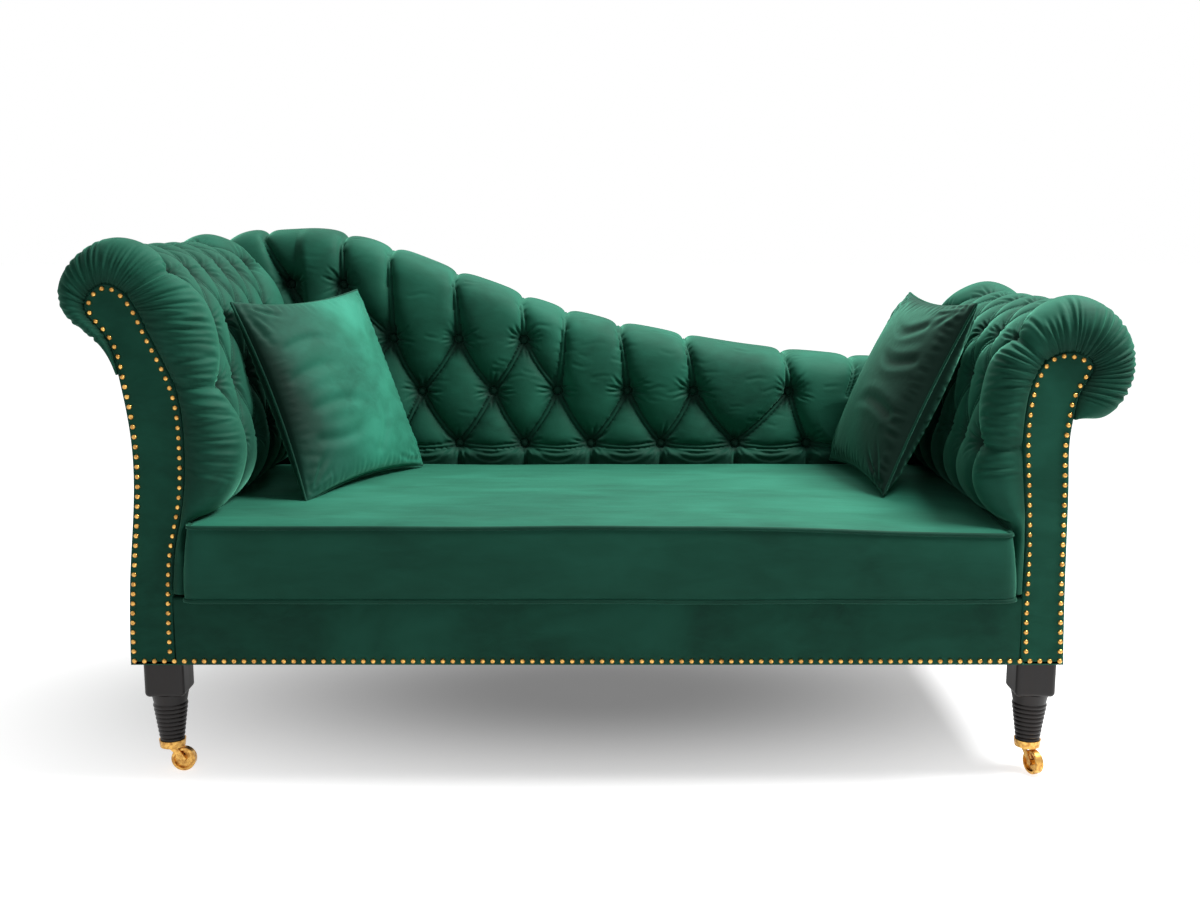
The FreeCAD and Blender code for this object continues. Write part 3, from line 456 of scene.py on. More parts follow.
def wood(name, dark, light, rough, scale=14.0, coat=0.0):
    made, tree, shader = node_material(name, dark, rough, {
        "Specular IOR Level": 0.3, "Coat Weight": coat, "Coat Roughness": 0.18})
    grain = noise(tree, scale, 5.0, 0.6, (1.0, 1.0, 0.12), 0.8)
    fill(tree, shader, {"Base Color": ramp(tree, grain, [(0.35, dark), (0.68, light)]),
                        "Roughness": ramp(tree, grain, [(0.3, rough * 0.85), (0.7, rough * 1.2)])})
    bump(tree, shader, noise(tree, scale * 9.0, 3.0, 0.6, (1.0, 1.0, 0.08)), 0.0003, 0.35)
    return made


def metal(name, bright, dull, rough):
    made, tree, shader = node_material(name, bright, rough, {"Metallic": 1.0})
    age = noise(tree, 160.0, 3.0, 0.6)
    fill(tree, shader, {"Base Color": ramp(tree, age, [(0.35, dull), (0.6, bright)]),
                        "Roughness": ramp(tree, age, [(0.3, rough * 1.5), (0.65, rough * 0.8)])})
    return made


def cloth(name, dark, light, scale):
    """A plain woven cloth."""
    made, tree, shader = node_material(name, dark, 0.9)
    weave = noise(tree, scale, 2.0, 0.6)
    fill(tree, shader, {"Base Color": ramp(tree, weave, [(0.35, dark), (0.65, light)])})
    bump(tree, shader, weave, 0.0005, 0.5)
    return made


# One velvet in four tones, as painted light and shade: lighter on the seat and pillows, where the lamps fall
# most, darker on the welts for the shade in their seams, and the rest between.
VELVET = velvet("velvet", (0.005, 0.052, 0.032), (0.01, 0.092, 0.056), (0.02, 0.15, 0.096))
WELT = velvet("velvet_welt", (0.004, 0.04, 0.025), (0.007, 0.06, 0.037), (0.011, 0.085, 0.053))
SEAT_VELVET = velvet("velvet_seat", (0.01, 0.095, 0.058), (0.016, 0.14, 0.086), (0.03, 0.215, 0.14),
                     (0.6, 1.6, 1.0))
PILLOW_VELVET = velvet("velvet_pillow", (0.009, 0.1, 0.062), (0.019, 0.175, 0.11), (0.04, 0.29, 0.195))
FINISHES = {
    "velvet": VELVET,
    "leg_wood": wood("leg_wood", (0.005, 0.0035, 0.0035), (0.012, 0.008, 0.007), 0.42, 30.0, 0.06),
    "frame_wood": wood("frame_wood", (0.4, 0.25, 0.13), (0.62, 0.43, 0.26), 0.6),
    "brass": metal("brass", (0.78, 0.45, 0.12), (0.42, 0.2, 0.05), 0.27),
    "steel": metal("spring_steel", (0.5, 0.5, 0.51), (0.3, 0.3, 0.31), 0.35),
    "dust_cloth": cloth("dust_cloth", (0.008, 0.008, 0.008), (0.02, 0.02, 0.02), 700.0),
    "deck_cloth": cloth("deck_cloth", (0.42, 0.37, 0.3), (0.58, 0.53, 0.45), 600.0),
    "webbing": cloth("webbing", (0.3, 0.2, 0.11), (0.52, 0.39, 0.24), 450.0),
}


# Making pieces


def mesh_object(name, points, faces, material=VELVET, body="couch_frame", replaces=(), fill=None, shade=None):
    """A piece of velvet from points in millimetres, which rides on body.

    shade is the painted shade at each point, from 0 to 1, which darkens the velvet's colour.
    """
    mesh = bpy.data.meshes.new(name)
    mesh.from_pydata((np.asarray(points, float) * MM).tolist(), [], faces)
    mesh.validate()
    if shade is not None:
        painted_shade = mesh.attributes.new("painted_shade", "FLOAT", "POINT")
        painted_shade.data.foreach_set("value", np.clip(np.asarray(shade, float).ravel(), 0.0, 1.0))
    mesh.polygons.foreach_set("use_smooth", [True] * len(mesh.polygons))
    mesh.materials.append(material)
    made = bpy.data.objects.new(name, mesh)
    bpy.context.scene.collection.objects.link(made)
    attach(made, body)
    if replaces:
        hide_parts(*replaces)


def grid_faces(rows, cols, first=0, round_=False, flip=False):
    """Quads over a grid of points. round_ joins the last column to the first."""
    faces = []
    for i in range(rows - 1):
        here, above = first + i * cols, first + (i + 1) * cols
        for j in range(cols if round_ else cols - 1):
            k = (j + 1) % cols
            quad = (here + j, above + j, above + k, here + k)
            faces.append(quad[::-1] if flip else quad)
    return faces


def ring_face(size, first=0):
    """One face over a ring of points."""
    return tuple(range(first, first + size))


def tube(line, radius, sides=8, closed=False):
    """(points, faces) of a round tube along a line."""
    ahead = headings(np.asarray(line, float), closed)
    side = np.cross(ahead, (0.0, 0.0, 1.0))
    if np.linalg.norm(side[0]) < 0.3:
        side[0] = np.cross(ahead[0], (0.0, 1.0, 0.0))
    side[0] = unit(side[0])
    for k in range(1, len(side)):
        side[k] = unit(side[k - 1] - (side[k - 1] @ ahead[k]) * ahead[k])
    up = np.cross(ahead, side)
    angles = np.linspace(0.0, math.tau, sides, endpoint=False)
    ring = np.cos(angles)[None, :, None] * side[:, None] + np.sin(angles)[None, :, None] * up[:, None]
    points = (line[:, None] + radius * ring).reshape(-1, 3)
    faces = grid_faces(len(line), sides, round_=True, flip=True)
    last = (len(line) - 1) * sides
    if closed:
        faces += [(j, last + j, last + (j + 1) % sides, (j + 1) % sides) for j in range(sides)]
    else:
        faces += [ring_face(sides)[::-1], ring_face(sides, last)]
    return points, faces


def welt_object(name, line, radius, body="couch_frame", **shape):
    mesh_object(name, *tube(line, radius, **shape), WELT, body)


def button_shape(centre, outward):
    """(points, faces) of a covered button: a low dome over a short rim."""
    out = unit(np.asarray(outward, float))
    side = unit(np.cross(out, (0.0, 0.0, 1.0) if abs(out[2]) < 0.9 else (1.0, 0.0, 0.0)))
    up = np.cross(out, side)
    angles = np.linspace(0.0, math.tau, BUTTON_SIDES, endpoint=False)
    points = [centre + BUTTON_R * share * (math.cos(a) * side + math.sin(a) * up) + h * out
              for share, h in BUTTON_RINGS for a in angles]
    faces = grid_faces(len(BUTTON_RINGS), BUTTON_SIDES, round_=True, flip=True)
    tip = len(points)
    points.append(centre + BUTTON_H * out)
    rim = ring_face(BUTTON_SIDES, tip - BUTTON_SIDES)
    faces += [(a, b, tip) for a, b in zip(rim, rim[1:] + rim[:1])]
    return points, faces


def make_buttons(part, cells, shape, out):
    """One piece of all the buttons of a part, each pressed a little into its cell."""
    points, faces = [], []
    for cell in cells:
        more, quads = button_shape(shape[cell] - out[cell], out[cell])
        faces += [tuple(k + len(points) for k in quad) for quad in quads]
        points += more
    # each button is darkened with painted shade
    mesh_object(f"{part}_tufting_buttons", points, faces, replaces=[f"{part}_buttons"],
                shade=np.full(len(points), BUTTON_SHADE))


# The back


TOP_LINE = dense_spline(BACK_TOP)


def back_top(x):
    return np.interp(x, TOP_LINE[:, 0], TOP_LINE[:, 1])


def back_profile(x, count):
    """(y, z) up the front of the back at x, over its roll and down behind."""
    top = back_top(x)
    face = BACK_FACE_Y + BACK_RECESS * ease(612.0, 640.0, abs(x))
    high = top - ROLL_H
    lean = face + BACK_LEAN * (high - SEAM_Z)
    front = [(face, BACK_FOOT), (face, SEAM_Z), ((face + lean) / 2, (SEAM_Z + high) / 2), (lean, high)]
    roll = [(lean + 14.0, top - 24.0), (lean + 52.0, top - 3.0), ((lean + REAR_IN) / 2 + 12.0, top)]
    tail = [(REAR_IN - 22.0, top - 16.0), (REAR_IN, top - 44.0), (REAR_IN, top - 78.0)]
    return smooth(front + roll + tail, count)


def back_grid():
    """(points, run, crest) of the back, by columns of cells. run is each cell's way up from the foot."""
    xs = np.linspace(-BACK_HALF, BACK_HALF, int(2 * BACK_HALF / STEP) + 1)
    grid = np.zeros((len(xs), BACK_CELLS, 3))
    run = np.zeros((len(xs), BACK_CELLS))
    crest = np.zeros(len(xs))
    for i, x in enumerate(xs):
        line = back_profile(x, BACK_CELLS)
        grid[i, :, 0], grid[i, :, 1:] = x, line
        run[i] = np.linspace(0.0, length(line), BACK_CELLS)
        crest[i] = run[i, int(np.argmax(line[:, 1]))]
    return grid, run, crest


def back_buttons():
    """Each button's (x, way up), by its (column, row): every other place that lies well under the top edge."""
    return {(i, row): (x, z - BACK_FOOT) for i, x in enumerate(BACK_COLUMNS) for row, z in enumerate(BACK_ROWS)
            if (i + row) % 2 and z + ROW_ROOM < back_top(x) and abs(x) < LAST_COLUMN}


def sew_back(quilt, buttons, crest_at, end_at):
    """The pleats and wrinkles of the back, and then its buttons."""
    for (column, row), (x, v) in buttons.items():
        for side in (-1, 1):
            other = buttons.get((column + side, row + 1))
            if other:
                middle = ((x + other[0]) / 2 + side * 3.0, (v + other[1]) / 2 - 4.0)
                quilt.fold(smooth([(x, v), middle, other], 9), 30.0, 17.0, 30.0)
        if row:
            continue
        quilt.fold([(x, v), (x + 2.0, v - 30.0), (x, v - 70.0)], 26.0, 9.0, 4.0, **NARROW)
        beyond = [place for place in buttons if place[1] == 0 and place[0] > column]
        if beyond:
            far = buttons[min(beyond)]
            sag = (x + far[0]) / 2
            quilt.fold(smooth([(x, v), (sag, v - 7.0), far], 9), 28.0, 10.0, 28.0)
            for drop, deep in ((20.0, 3.2), (33.0, 2.2)):
                line = smooth([(x + 12, v - 9), (sag, v - drop), (far[0] - 12, v - 9)], 9)
                quilt.crease(line, deep, 3.6)
                quilt.crease(line[::-1], deep, 3.6)
    for x, edge in BACK_PLEATS:
        top = crest_at(edge)
        column = BACK_COLUMNS.index(x)
        own = [at for place, at in buttons.items() if place[0] == column]
        start = own[-1] if own else (x, crest_at(x) - 130.0)
        deep, taper = (30.0, 2.1) if own else (3.0, 1.0)
        half_way = ((start[0] + edge) / 2 + 2.0, (start[1] + top - 70.0) / 2)
        quilt.fold(smooth([start, half_way, (edge, top - 46.0)], 9), deep, 13.0, 8.0, 4.2, 6.0, taper)
        quilt.fold([(edge, top - 46.0), (edge, top), (edge, end_at(edge))], 8.0, 5.0, 4.0, 4.2, 2.5)
    for at in buttons.values():
        quilt.button(at, 31.0)
    random = quilt.random
    for _ in range(130):
        x = random.uniform(-640.0, 640.0)
        v = random.uniform(150.0, max(160.0, crest_at(x) + 20.0))
        tilt, long = random.uniform(-0.35, 0.35), random.uniform(30.0, 75.0)
        line = [(x, v), (x + long * 0.5, v + long * 0.5 * tilt), (x + long, v + long * 0.2 * tilt)]
        quilt.crease(line, random.uniform(0.3, 0.8), 3.2)


def make_back():
    grid, run, crest = back_grid()
    xs, ends = grid[:, 0, 0], run[:, -1]
    quilt = Quilt(grid[:, :, 0], run, 11)
    buttons = back_buttons()
    sew_back(quilt, buttons, lambda x: float(np.interp(x, xs, crest)), lambda x: float(np.interp(x, xs, ends)))

    past_crest = run - crest[:, None]
    over = ease(-90.0, -10.0, past_crest)
    height = quilt.heights(22.0, 125.0, 0.55 + 0.4 * over)
    height = np.where(height > 0.0, height * (1.0 - 0.25 * over), height)
    sunk = quilt.sunk(height)
    up = BACK_FOOT + run  # about the height above the floor, on the face
    height *= 0.25 + 0.75 * ease(DECK_Z + 40.0, 505.0, up)
    height -= 13.0 * (1.0 - ease(SEAM_Z, 506.0, up))
    height *= 1.0 - ease(0.72, 1.0, past_crest / (ends - crest)[:, None])
    corner = np.clip((np.abs(xs) - (BACK_HALF - END_ROUND)) / END_ROUND, 0.0, 1.0)
    height -= (END_ROUND * (1.0 - np.sqrt(1.0 - corner ** 2)))[:, None]

    out = normals(grid)
    shape = grid + out * height[:, :, None]
    shape[:, :, 1] = np.maximum(shape[:, :, 1], BACK_MIN_Y)
    faces = grid_faces(*run.shape)
    for first, middle in ((0, run.size), (run.size - BACK_CELLS, run.size + 1)):
        ring = ring_face(BACK_CELLS, first)
        faces += [(b, a, middle) if first else (a, b, middle) for a, b in zip(ring, ring[1:])]
    points = np.vstack([shape.reshape(-1, 3), shape[[0, -1]].mean(axis=1)])
    # Painted shade: in folds and round the buttons, and low on the back beside the seat.
    shade = np.maximum(sunk * 0.85, 0.7 * (1.0 - ease(455.0, 530.0, up)))
    mesh_object("back", points, faces, replaces=["back_pad"], fill=0.8, shade=np.append(shade, (0.0, 0.0)))
    columns = [(nearest(xs, x), v) for x, v in buttons.values()]
    make_buttons("back", [(a, nearest(run[a], v)) for a, v in columns], shape, out)


# The arms


def arm_line(arm, points):
    """Outline points, given from the couch's end and above the base, as (x, z)."""
    return [(arm["side"] * (HALF - inset), BASE_Z + rise) for inset, rise in points]


def facing_line(arm, count):
    """The facing's outline from its outer foot, over its crown, to its inner foot."""
    return smooth(arm_line(arm, arm["outer"] + [arm["crown"]] + arm["inner"]), count)


def arm_grid(arm):
    """(points, u, v, section) of the arm: v runs along its section, and u from the facing to the rear."""
    fine = dense_spline(arm_line(arm, arm["pad"]), 60)
    section = even(fine, int(length(fine) / STEP) + 1)
    facing = facing_line(arm, 900)
    pads, faces = zip(*arm["meets"])
    marks = [place_on(section, point) for point in arm_line(arm, pads)]
    ends = [place_on(facing, point) for point in arm_line(arm, faces)]
    v = np.linspace(0.0, length(section), len(section))
    along = np.interp(v, marks, ends) / length(facing) * (len(facing) - 1)
    inner = np.stack([np.interp(along, np.arange(len(facing)), facing[:, k]) for k in (0, 1)], axis=1)
    front = smooth(FRONT_BORDER, 44) / (BORDER_W, 1.0)
    rear = smooth(REAR_BORDER, 20) / (BORDER_W, 1.0)
    long = np.arange(RING_BACK + STEP, REAR_TURN, STEP)
    share = np.concatenate([front[:, 0], np.ones(len(long)), rear[:, 0]])
    y = np.concatenate([front[:, 1], long, rear[:, 1]])
    flat = inner[:, None] + (section - inner)[:, None] * share[None, :, None]
    grid = np.stack([flat[:, :, 0], np.broadcast_to(y, flat.shape[:2]), flat[:, :, 1]], axis=2)
    before = RING_BACK - np.linspace(FRONT_CLOTH, 0.0, len(front))
    after = REAR_TURN + np.linspace(0.0, REAR_CLOTH, len(rear))
    u, v = np.meshgrid(np.concatenate([before, long, after]), v)
    return grid, u, v, section


def arm_buttons(rows):
    """Each button's (u, v), by its row and its column, which counts half pitches."""
    buttons = {}
    for row, v in enumerate(rows[:-1]):
        column = row % 2
        u = ARM_FIRST + ARM_PITCH / 2 * column
        while u < ARM_END_Y - 20.0:
            buttons[(row, column)] = (u, v)
            u += ARM_PITCH
            column += 2
    return buttons


def sew_arm(quilt, buttons, rows, front):
    """The pleats of an arm, its buttons and its edges."""
    for (row, column), (u, v) in buttons.items():
        for step in (-1, 1):
            other = buttons.get((row + 1, column + step))
            if other:
                quilt.fold([(u, v), ((u + other[0]) / 2, (v + other[1]) / 2), other], 28.0, 16.0, 28.0)
        if row == len(rows) - 2:
            quilt.fold([(u, v), (u, rows[-1]), (u, rows[-1] + 40.0)], 26.0, 9.0, 5.0, **NARROW)
        if column == 0 and row:
            quilt.fold([(u, v), ((u + front) / 2, v + 3.0), (front, v)], 26.0, 9.0, 4.0, **NARROW)
        if row == 0:
            quilt.fold([(u, v), (u, v * 0.5), (u, 6.0)], 26.0, 8.0, 4.0, **NARROW)
    for at in buttons.values():
        quilt.button(at, 29.0)
    for cells, value in ((np.s_[:, :2], -1.0), (np.s_[:, -2:], 0.0), (np.s_[:2], 0.0), (np.s_[-3:], 0.0)):
        quilt.edge(cells, value)


def gather(quilt, rows, front):
    """Gathers where the front border is drawn in round the facing, and wrinkles that its buttons pull."""
    random = quilt.random
    first, last = rows[0] * 0.35, rows[3] - 10.0
    count = 44
    for k in range(count):
        place = first + (last - first) * (k + random.uniform(-0.35, 0.35)) / (count - 1)
        reach = random.uniform(48.0, 118.0)
        lean = random.uniform(-6.0, 6.0) + 34.0 * ease(rows[2], rows[3], place)
        line = [(front + 1.0, place), (front + reach * 0.5, place + lean * 0.35), (front + reach, place + lean)]
        quilt.crease(line, random.uniform(3.0, 6.0), random.uniform(2.4, 3.4))
    for below in rows[3:-1]:
        for k in range(17):
            place = below - 46.0 + k * 5.6 + random.uniform(-2.0, 2.0)
            drift = (place - below) * 0.3 + random.uniform(4.0, 16.0)
            line = [(front + random.uniform(4.0, 22.0), place), (front + 60.0, place + drift * 0.4),
                    (front + random.uniform(85.0, 118.0), place + drift)]
            quilt.crease(line, random.uniform(1.4, 3.2), random.uniform(2.4, 4.0))


def make_arm(arm):
    part, side = arm["name"] + "_arm", arm["side"]
    grid, u, v, section = arm_grid(arm)
    front = u[0, 0]
    rows = [place_on(section, point) for point in arm_line(arm, arm["rows"])]
    quilt = Quilt(u, v, 21 + side)
    buttons = arm_buttons(rows)
    sew_arm(quilt, buttons, rows, front)
    gather(quilt, rows, front)

    height = quilt.heights(20.0, 120.0)
    sunk = quilt.sunk(height)
    height *= 0.3 + 0.7 * ease(0.0, 0.8, (u - front) / (RING_BACK - front))
    height *= (0.15 + 0.85 * ease(0.0, 90.0, v)) * (1.0 - 0.9 * ease(rows[-1] + 10.0, rows[-1] + 60.0, v))
    out = normals(grid) * -side
    shape = grid + out * height[:, :, None]
    outward = shape[:, :, 0] * side
    beside_seat = shape[:, :, 2] < SEAM_Z + 4.0
    shape[:, :, 0] = np.where(beside_seat, np.maximum(outward, ARM_FOOT_X), outward) * side

    # Painted shade: in folds and round the buttons, low on the inside beside the seat, and where the cloth is
    # drawn in round the facing.
    shade_by_seat = ease(rows[4] - 60.0, rows[-1], v) * ease(-80.0, 80.0, u - RING_BACK)
    shade_by_facing = 1.0 - ease(0.0, 34.0, u - front)
    shade = np.max([0.85 * sunk, 0.55 * shade_by_seat, 0.7 * shade_by_facing], axis=0)
    mesh_object(part, shape.reshape(-1, 3), grid_faces(*u.shape, flip=side > 0), replaces=[f"{part}_pad"],
                fill=0.85, shade=shade)
    cells = [(nearest(v[:, 0], at[1]), nearest(u[0], at[0])) for at in buttons.values()]
    make_buttons(part, cells, shape, out)


def make_facing(arm):
    """The board that covers the arm's front: cloth drawn over its edge, and a welt beside it."""
    name, side = arm["name"], arm["side"]
    line = facing_line(arm, 200)
    outline = np.vstack([line, even([line[-1], line[0]], 24)[1:-1]])
    after = np.roll(outline, -1, axis=0)
    if np.sum(outline[:, 0] * after[:, 1] - after[:, 0] * outline[:, 1]) < 0:
        outline = outline[::-1]
    inward = -to_right(outline, closed=True)
    rings = [(0.0, FACING_T), (0.0, 3.0), (0.8, 1.0), (2.6, 0.0), (7.0, -0.5)]  # (drawn in, behind the front)
    points = [(x, FRONT_Y + behind, z) for inset, behind in rings for x, z in outline + inset * inward]
    size = len(outline)
    faces = grid_faces(len(rings), size, round_=True, flip=True)
    faces.append(ring_face(size, (len(rings) - 1) * size))
    mesh_object(f"{name}_facing_cover", points, faces, replaces=[f"{name}_facing"], fill=0.2)

    count = 400
    inner = facing_line(arm, count)
    start, stop = (int(place_on(inner, point) / length(inner) * count)
                   for point in arm_line(arm, [arm["outer"][5], arm["inner"][-2]]))
    cut = inner[start:stop]
    outside = cut - side * 3.4 * to_right(cut)
    welt = np.stack([outside[:, 0], np.full(len(cut), FRONT_Y + 1.0), outside[:, 1]], axis=1)
    welt_object(f"{name}_facing_welt", welt, 2.6)


# The seat


def cushion_plan():
    """The cushion's plan, a closed chain. Its front corners reach past its sides, in front of the arms."""
    side, wide, front, rear = 697.5, 715.0, -411.0, 191.0
    half = [(-side, rear), (-side, FRONT_Y - 3.0), (-wide, FRONT_Y - 5.0), (-wide + 2.0, front + 6.0),
            (-wide + 9.0, front)]
    corners = half + [(-x, y) for x, y in half[::-1]]
    chain = []
    for a, b in zip(corners, corners[1:] + corners[:1]):
        steps = max(1, int(math.dist(a, b) / 8.0))
        chain += [(a[0] + (b[0] - a[0]) * k / steps, a[1] + (b[1] - a[1]) * k / steps) for k in range(steps)]
    plan = np.array(chain)
    for _ in range(9):
        plan = (np.roll(plan, 1, axis=0) + 2.0 * plan + np.roll(plan, -1, axis=0)) / 4.0
    return plan


def sag_cushion(points, low, high):
    """The cushion's front hangs a little lower towards its right end."""
    sag = 13.0 * ease(150.0, 720.0, points[..., 0]) * (1.0 - ease(-380.0, 0.0, points[..., 1]))
    points[..., 2] -= sag * np.clip((points[..., 2] - low) / (high - low), 0.0, 1.0)


def wobble(points, amount):
    """Soft hand-made unevenness, from a few slow waves."""
    random = np.random.default_rng(5)
    shift = np.zeros(points.shape[:-1])
    for _ in range(7):
        way = unit(random.normal(size=3))
        shift += np.sin(points @ way * random.uniform(0.008, 0.03) + random.uniform(0, math.tau))
    points[..., 2] += amount * shift / 3.0


def cushion_sides(plan, under):
    """Rings under the cushion, at the shares in under of the way out, and up its sides to the seam."""
    outward = to_right(plan, closed=True)
    frontness = np.clip((-372.0 - plan[:, 1]) / 20.0, 0.0, 1.0)
    corner_in = 23.4 * frontness * ease(690.0, 716.0, np.abs(plan[:, 0]))
    spine = np.stack([np.clip(plan[:, 0], -420.0, 420.0), np.full(len(plan), -100.0)], axis=1)
    rings = [np.column_stack([spine + (plan - spine) * share, np.full(len(plan), CUSHION_LOW)])
             for share in under]
    for t in np.linspace(0.0, 1.0, 15):
        bulge = 6.5 * math.sin(math.pi * t) ** 0.7 * frontness
        flat = plan + outward * (bulge - corner_in * t)[:, None]
        z = CUSHION_LOW + (CUSHION_HIGH - CUSHION_LOW) * t
        rings.append(np.column_stack([flat, np.full(len(plan), z)]))
    return np.array(rings)


def cushion_top(seam):
    """The crowned top, as a grid inside the seam that is closer near its edges."""
    across, back = (0.5 - 0.5 * np.cos(math.pi * np.linspace(0.0, 1.0, count)) for count in (170, 90))
    front, rear = seam[:, 1].min() + 0.3, seam[:, 1].max() - 0.3
    after = np.roll(seam, -1, axis=0)
    grid = np.zeros((len(back), len(across), 3))
    for i, y in enumerate(front + (rear - front) * back):
        a, b = seam[:, 1] - y, after[:, 1] - y
        k = np.nonzero(a * b <= 0.0)[0]
        share = a[k] / np.where(a[k] == b[k], 1.0, a[k] - b[k])
        x = seam[k, 0] + share * (after[k, 0] - seam[k, 0])
        grid[i, :, 0] = x.min() + (x.max() - x.min()) * across
        grid[i, :, 1] = y
    x, y = grid[..., 0], grid[..., 1]
    away = [x - x[:, :1], x[:, -1:] - x, y - front, rear - y]
    edge = sum(np.maximum(d, 0.5) ** -3.0 for d in away) ** (-1.0 / 3.0)  # about the least of the four
    border = 1.0 - np.clip(edge / 45.0, 0.0, 1.0)
    grid[..., 2] = SEAM_Z + 9.0 * (1.0 - border ** 2) + 6.0 * ease(30.0, 240.0, edge)
    sag_cushion(grid, DECK_Z, SEAM_Z)
    return grid.transpose(1, 0, 2)


def make_cushion():
    under = (0.5, 0.9, 0.985)
    sides = cushion_sides(cushion_plan(), under)
    sag_cushion(sides, CUSHION_LOW, CUSHION_HIGH)
    wobble(sides, 0.7)
    top = cushion_top(sides[-1])
    wobble(top, 0.7)
    rings, size = sides.shape[:2]
    faces = grid_faces(rings, size, round_=True, flip=True)
    faces.append(ring_face(size)[::-1])
    faces += grid_faces(*top.shape[:2], first=rings * size)
    points = np.vstack([sides.reshape(-1, 3), top.reshape(-1, 3)])
    # Painted shade on the cushion's sides and front, none on its top.
    shade = np.zeros(len(points))
    shade[:rings * size] = 0.42
    mesh_object("cushion", points, faces, SEAT_VELVET, "seat", replaces=["seat_cushion"], fill=0.9, shade=shade)
    rear = 185.0  # the piping ends here, out of sight
    for name, line in (("top", sides[-1]), ("bottom", sides[len(under)])):
        line = np.roll(line, -int(np.argmax(line[:, 1] >= rear)), axis=0)
        welt_object(f"cushion_{name}_piping", even(line[line[:, 1] < rear + 1.0], 420), 4.0, "seat")


def make_side_welts():
    """A welt down each side, where the arm's panel meets the back's."""
    for name, side, top in (("left", -1, 560.0), ("right", 1, 520.0)):
        line = [(side * 811.0, ARM_END_Y + 6.0, z) for z in np.linspace(BASE_Z + 4.0, top, 40)]
        welt_object(f"{name}_side_welt", np.array(line), 4.0)


def make_rail():
    """The upholstered front rail."""
    low, high = BASE_Z, DECK_Z - 0.6
    xs = np.linspace(*RAIL_ENDS, 240)
    profile = [(FACING_T, low), (3.0, low), (0.8, low + 1.0), (0.0, low + 4.0), (-0.4, low + 20.0),
               (-0.9, low + 50.0), (-0.9, low + 80.0), (-0.4, high - 14.0), (0.0, high - 5.0), (2.0, high - 0.8),
               (FACING_T, high)]  # (behind the front, z)
    points = [(x, FRONT_Y + behind, z) for behind, z in profile for x in xs]
    faces = grid_faces(len(profile), len(xs), flip=True)
    # Painted shade, even over the whole rail.
    mesh_object("rail_cover", points, faces, replaces=["front_rail_cover"], fill=0.2,
                shade=np.full(len(points), 0.22))


# Throw pillows


def pillow_folds(seed, folds):
    """A pillow's grid in its own plane and how far its cloth is pushed in by folds: (x, z, a, b, fine)."""
    t = np.linspace(-1.0, 1.0, 101)
    t = 0.55 * np.sin(t * math.pi / 2) + 0.45 * t
    a, b = np.meshgrid(t, t, indexing="ij")
    half = PILLOW_W / 2
    x = a * half * (1.0 - PILLOW_DRAW * (1.0 - b * b) * np.abs(a) ** 1.2)
    z = b * half * (1.0 - PILLOW_DRAW * (1.0 - a * a) * np.abs(b) ** 1.2)
    quilt = Quilt(x, z, seed)
    random = quilt.random
    corner = half - 9.0
    for cx, cz, k in np.ndindex(2, 2, 7):
        angle = math.radians(45.0 + 80.0 * (k / 6.0 - 0.5) + random.uniform(-5.0, 5.0))
        reach = random.uniform(50.0, 120.0)
        bend = random.uniform(-0.22, 0.22)
        line = [((2 * cx - 1) * (corner - r * math.cos(angle + bend * r / 90.0)),
                 (2 * cz - 1) * (corner - r * math.sin(angle + bend * r / 90.0)))
                for r in (0.0, reach / 2, reach)]
        quilt.crease(line, random.uniform(1.6, 3.6), random.uniform(3.4, 6.0))
    for side in (-1, 1):
        for turned in (False, True):
            for k in range(22):
                place = -half * 0.88 + 1.76 * half * (k + random.uniform(-0.35, 0.35)) / 21.0
                border = side * (half * (1.0 - PILLOW_DRAW * (1.0 - (place / half) ** 2)) - 2.0)
                reach, lean = random.uniform(16.0, 46.0), random.uniform(-10.0, 10.0)
                line = [(border, place), (border - side * reach * 0.5, place + lean * 0.4),
                        (border - side * reach, place + lean)]
                line = [(q, p) for p, q in line] if turned else line
                quilt.crease(line, random.uniform(0.8, 2.0), random.uniform(2.6, 4.2))
    for line, depth, width in folds:
        quilt.crease(smooth(line, 12), depth, width)
    return x, z, a, b, quilt.fine


def make_pillow(name, centre, turn, lean, roll, seed, painted_shade, folds):
    """A pillow that is turned about Z, leans back and is rolled in its own plane.

    The painted shade on its cloth is given as its change along the plane's two ways and its amount in the
    middle.
    """
    turned = Euler((math.radians(-lean), 0.0, math.radians(turn)), "XYZ").to_matrix()
    rolled = np.array(turned @ Euler((0.0, math.radians(roll), 0.0), "XYZ").to_matrix())
    points, faces, shades = [], [], []
    for k, sign in enumerate((-1.0, 1.0)):  # its front, and then its back
        x, z, a, b, fine = pillow_folds(seed + k, [] if k else folds)
        count = len(x)
        rise = ((1.0 - a ** 2) * (1.0 - b ** 2)) ** 0.4
        thick = PILLOW_T / 2 * rise + fine * np.minimum(1.0, rise * 2.2)
        points.append(np.stack([x, sign * np.maximum(thick, 0.0), z], axis=2).reshape(-1, 3))
        # painted shade, with a slow wave through it
        shades.append(painted_shade[2] + (painted_shade[0] * a + painted_shade[1] * b) + 0.12 * np.sin(a * 5.0 + b * 3.0))
        faces += grid_faces(count, count, first=k * count * count, flip=bool(k))
    both = np.vstack(points) @ rolled.T + np.array(centre)
    body = name.replace("pillow", "throw_pillow")
    mesh_object(name + "_cover", both, faces, PILLOW_VELVET, body, replaces=[name], fill=0.8, shade=shades)
    rim = [(0, j) for j in range(count)] + [(i, count - 1) for i in range(1, count)]
    rim += [(count - 1, j) for j in range(count - 2, -1, -1)] + [(i, 0) for i in range(count - 2, 0, -1)]
    seam = both[:count * count].reshape(count, count, 3)[tuple(zip(*rim))]
    welt_object(name + "_piping", seam, 2.6, body, sides=6, closed=True)


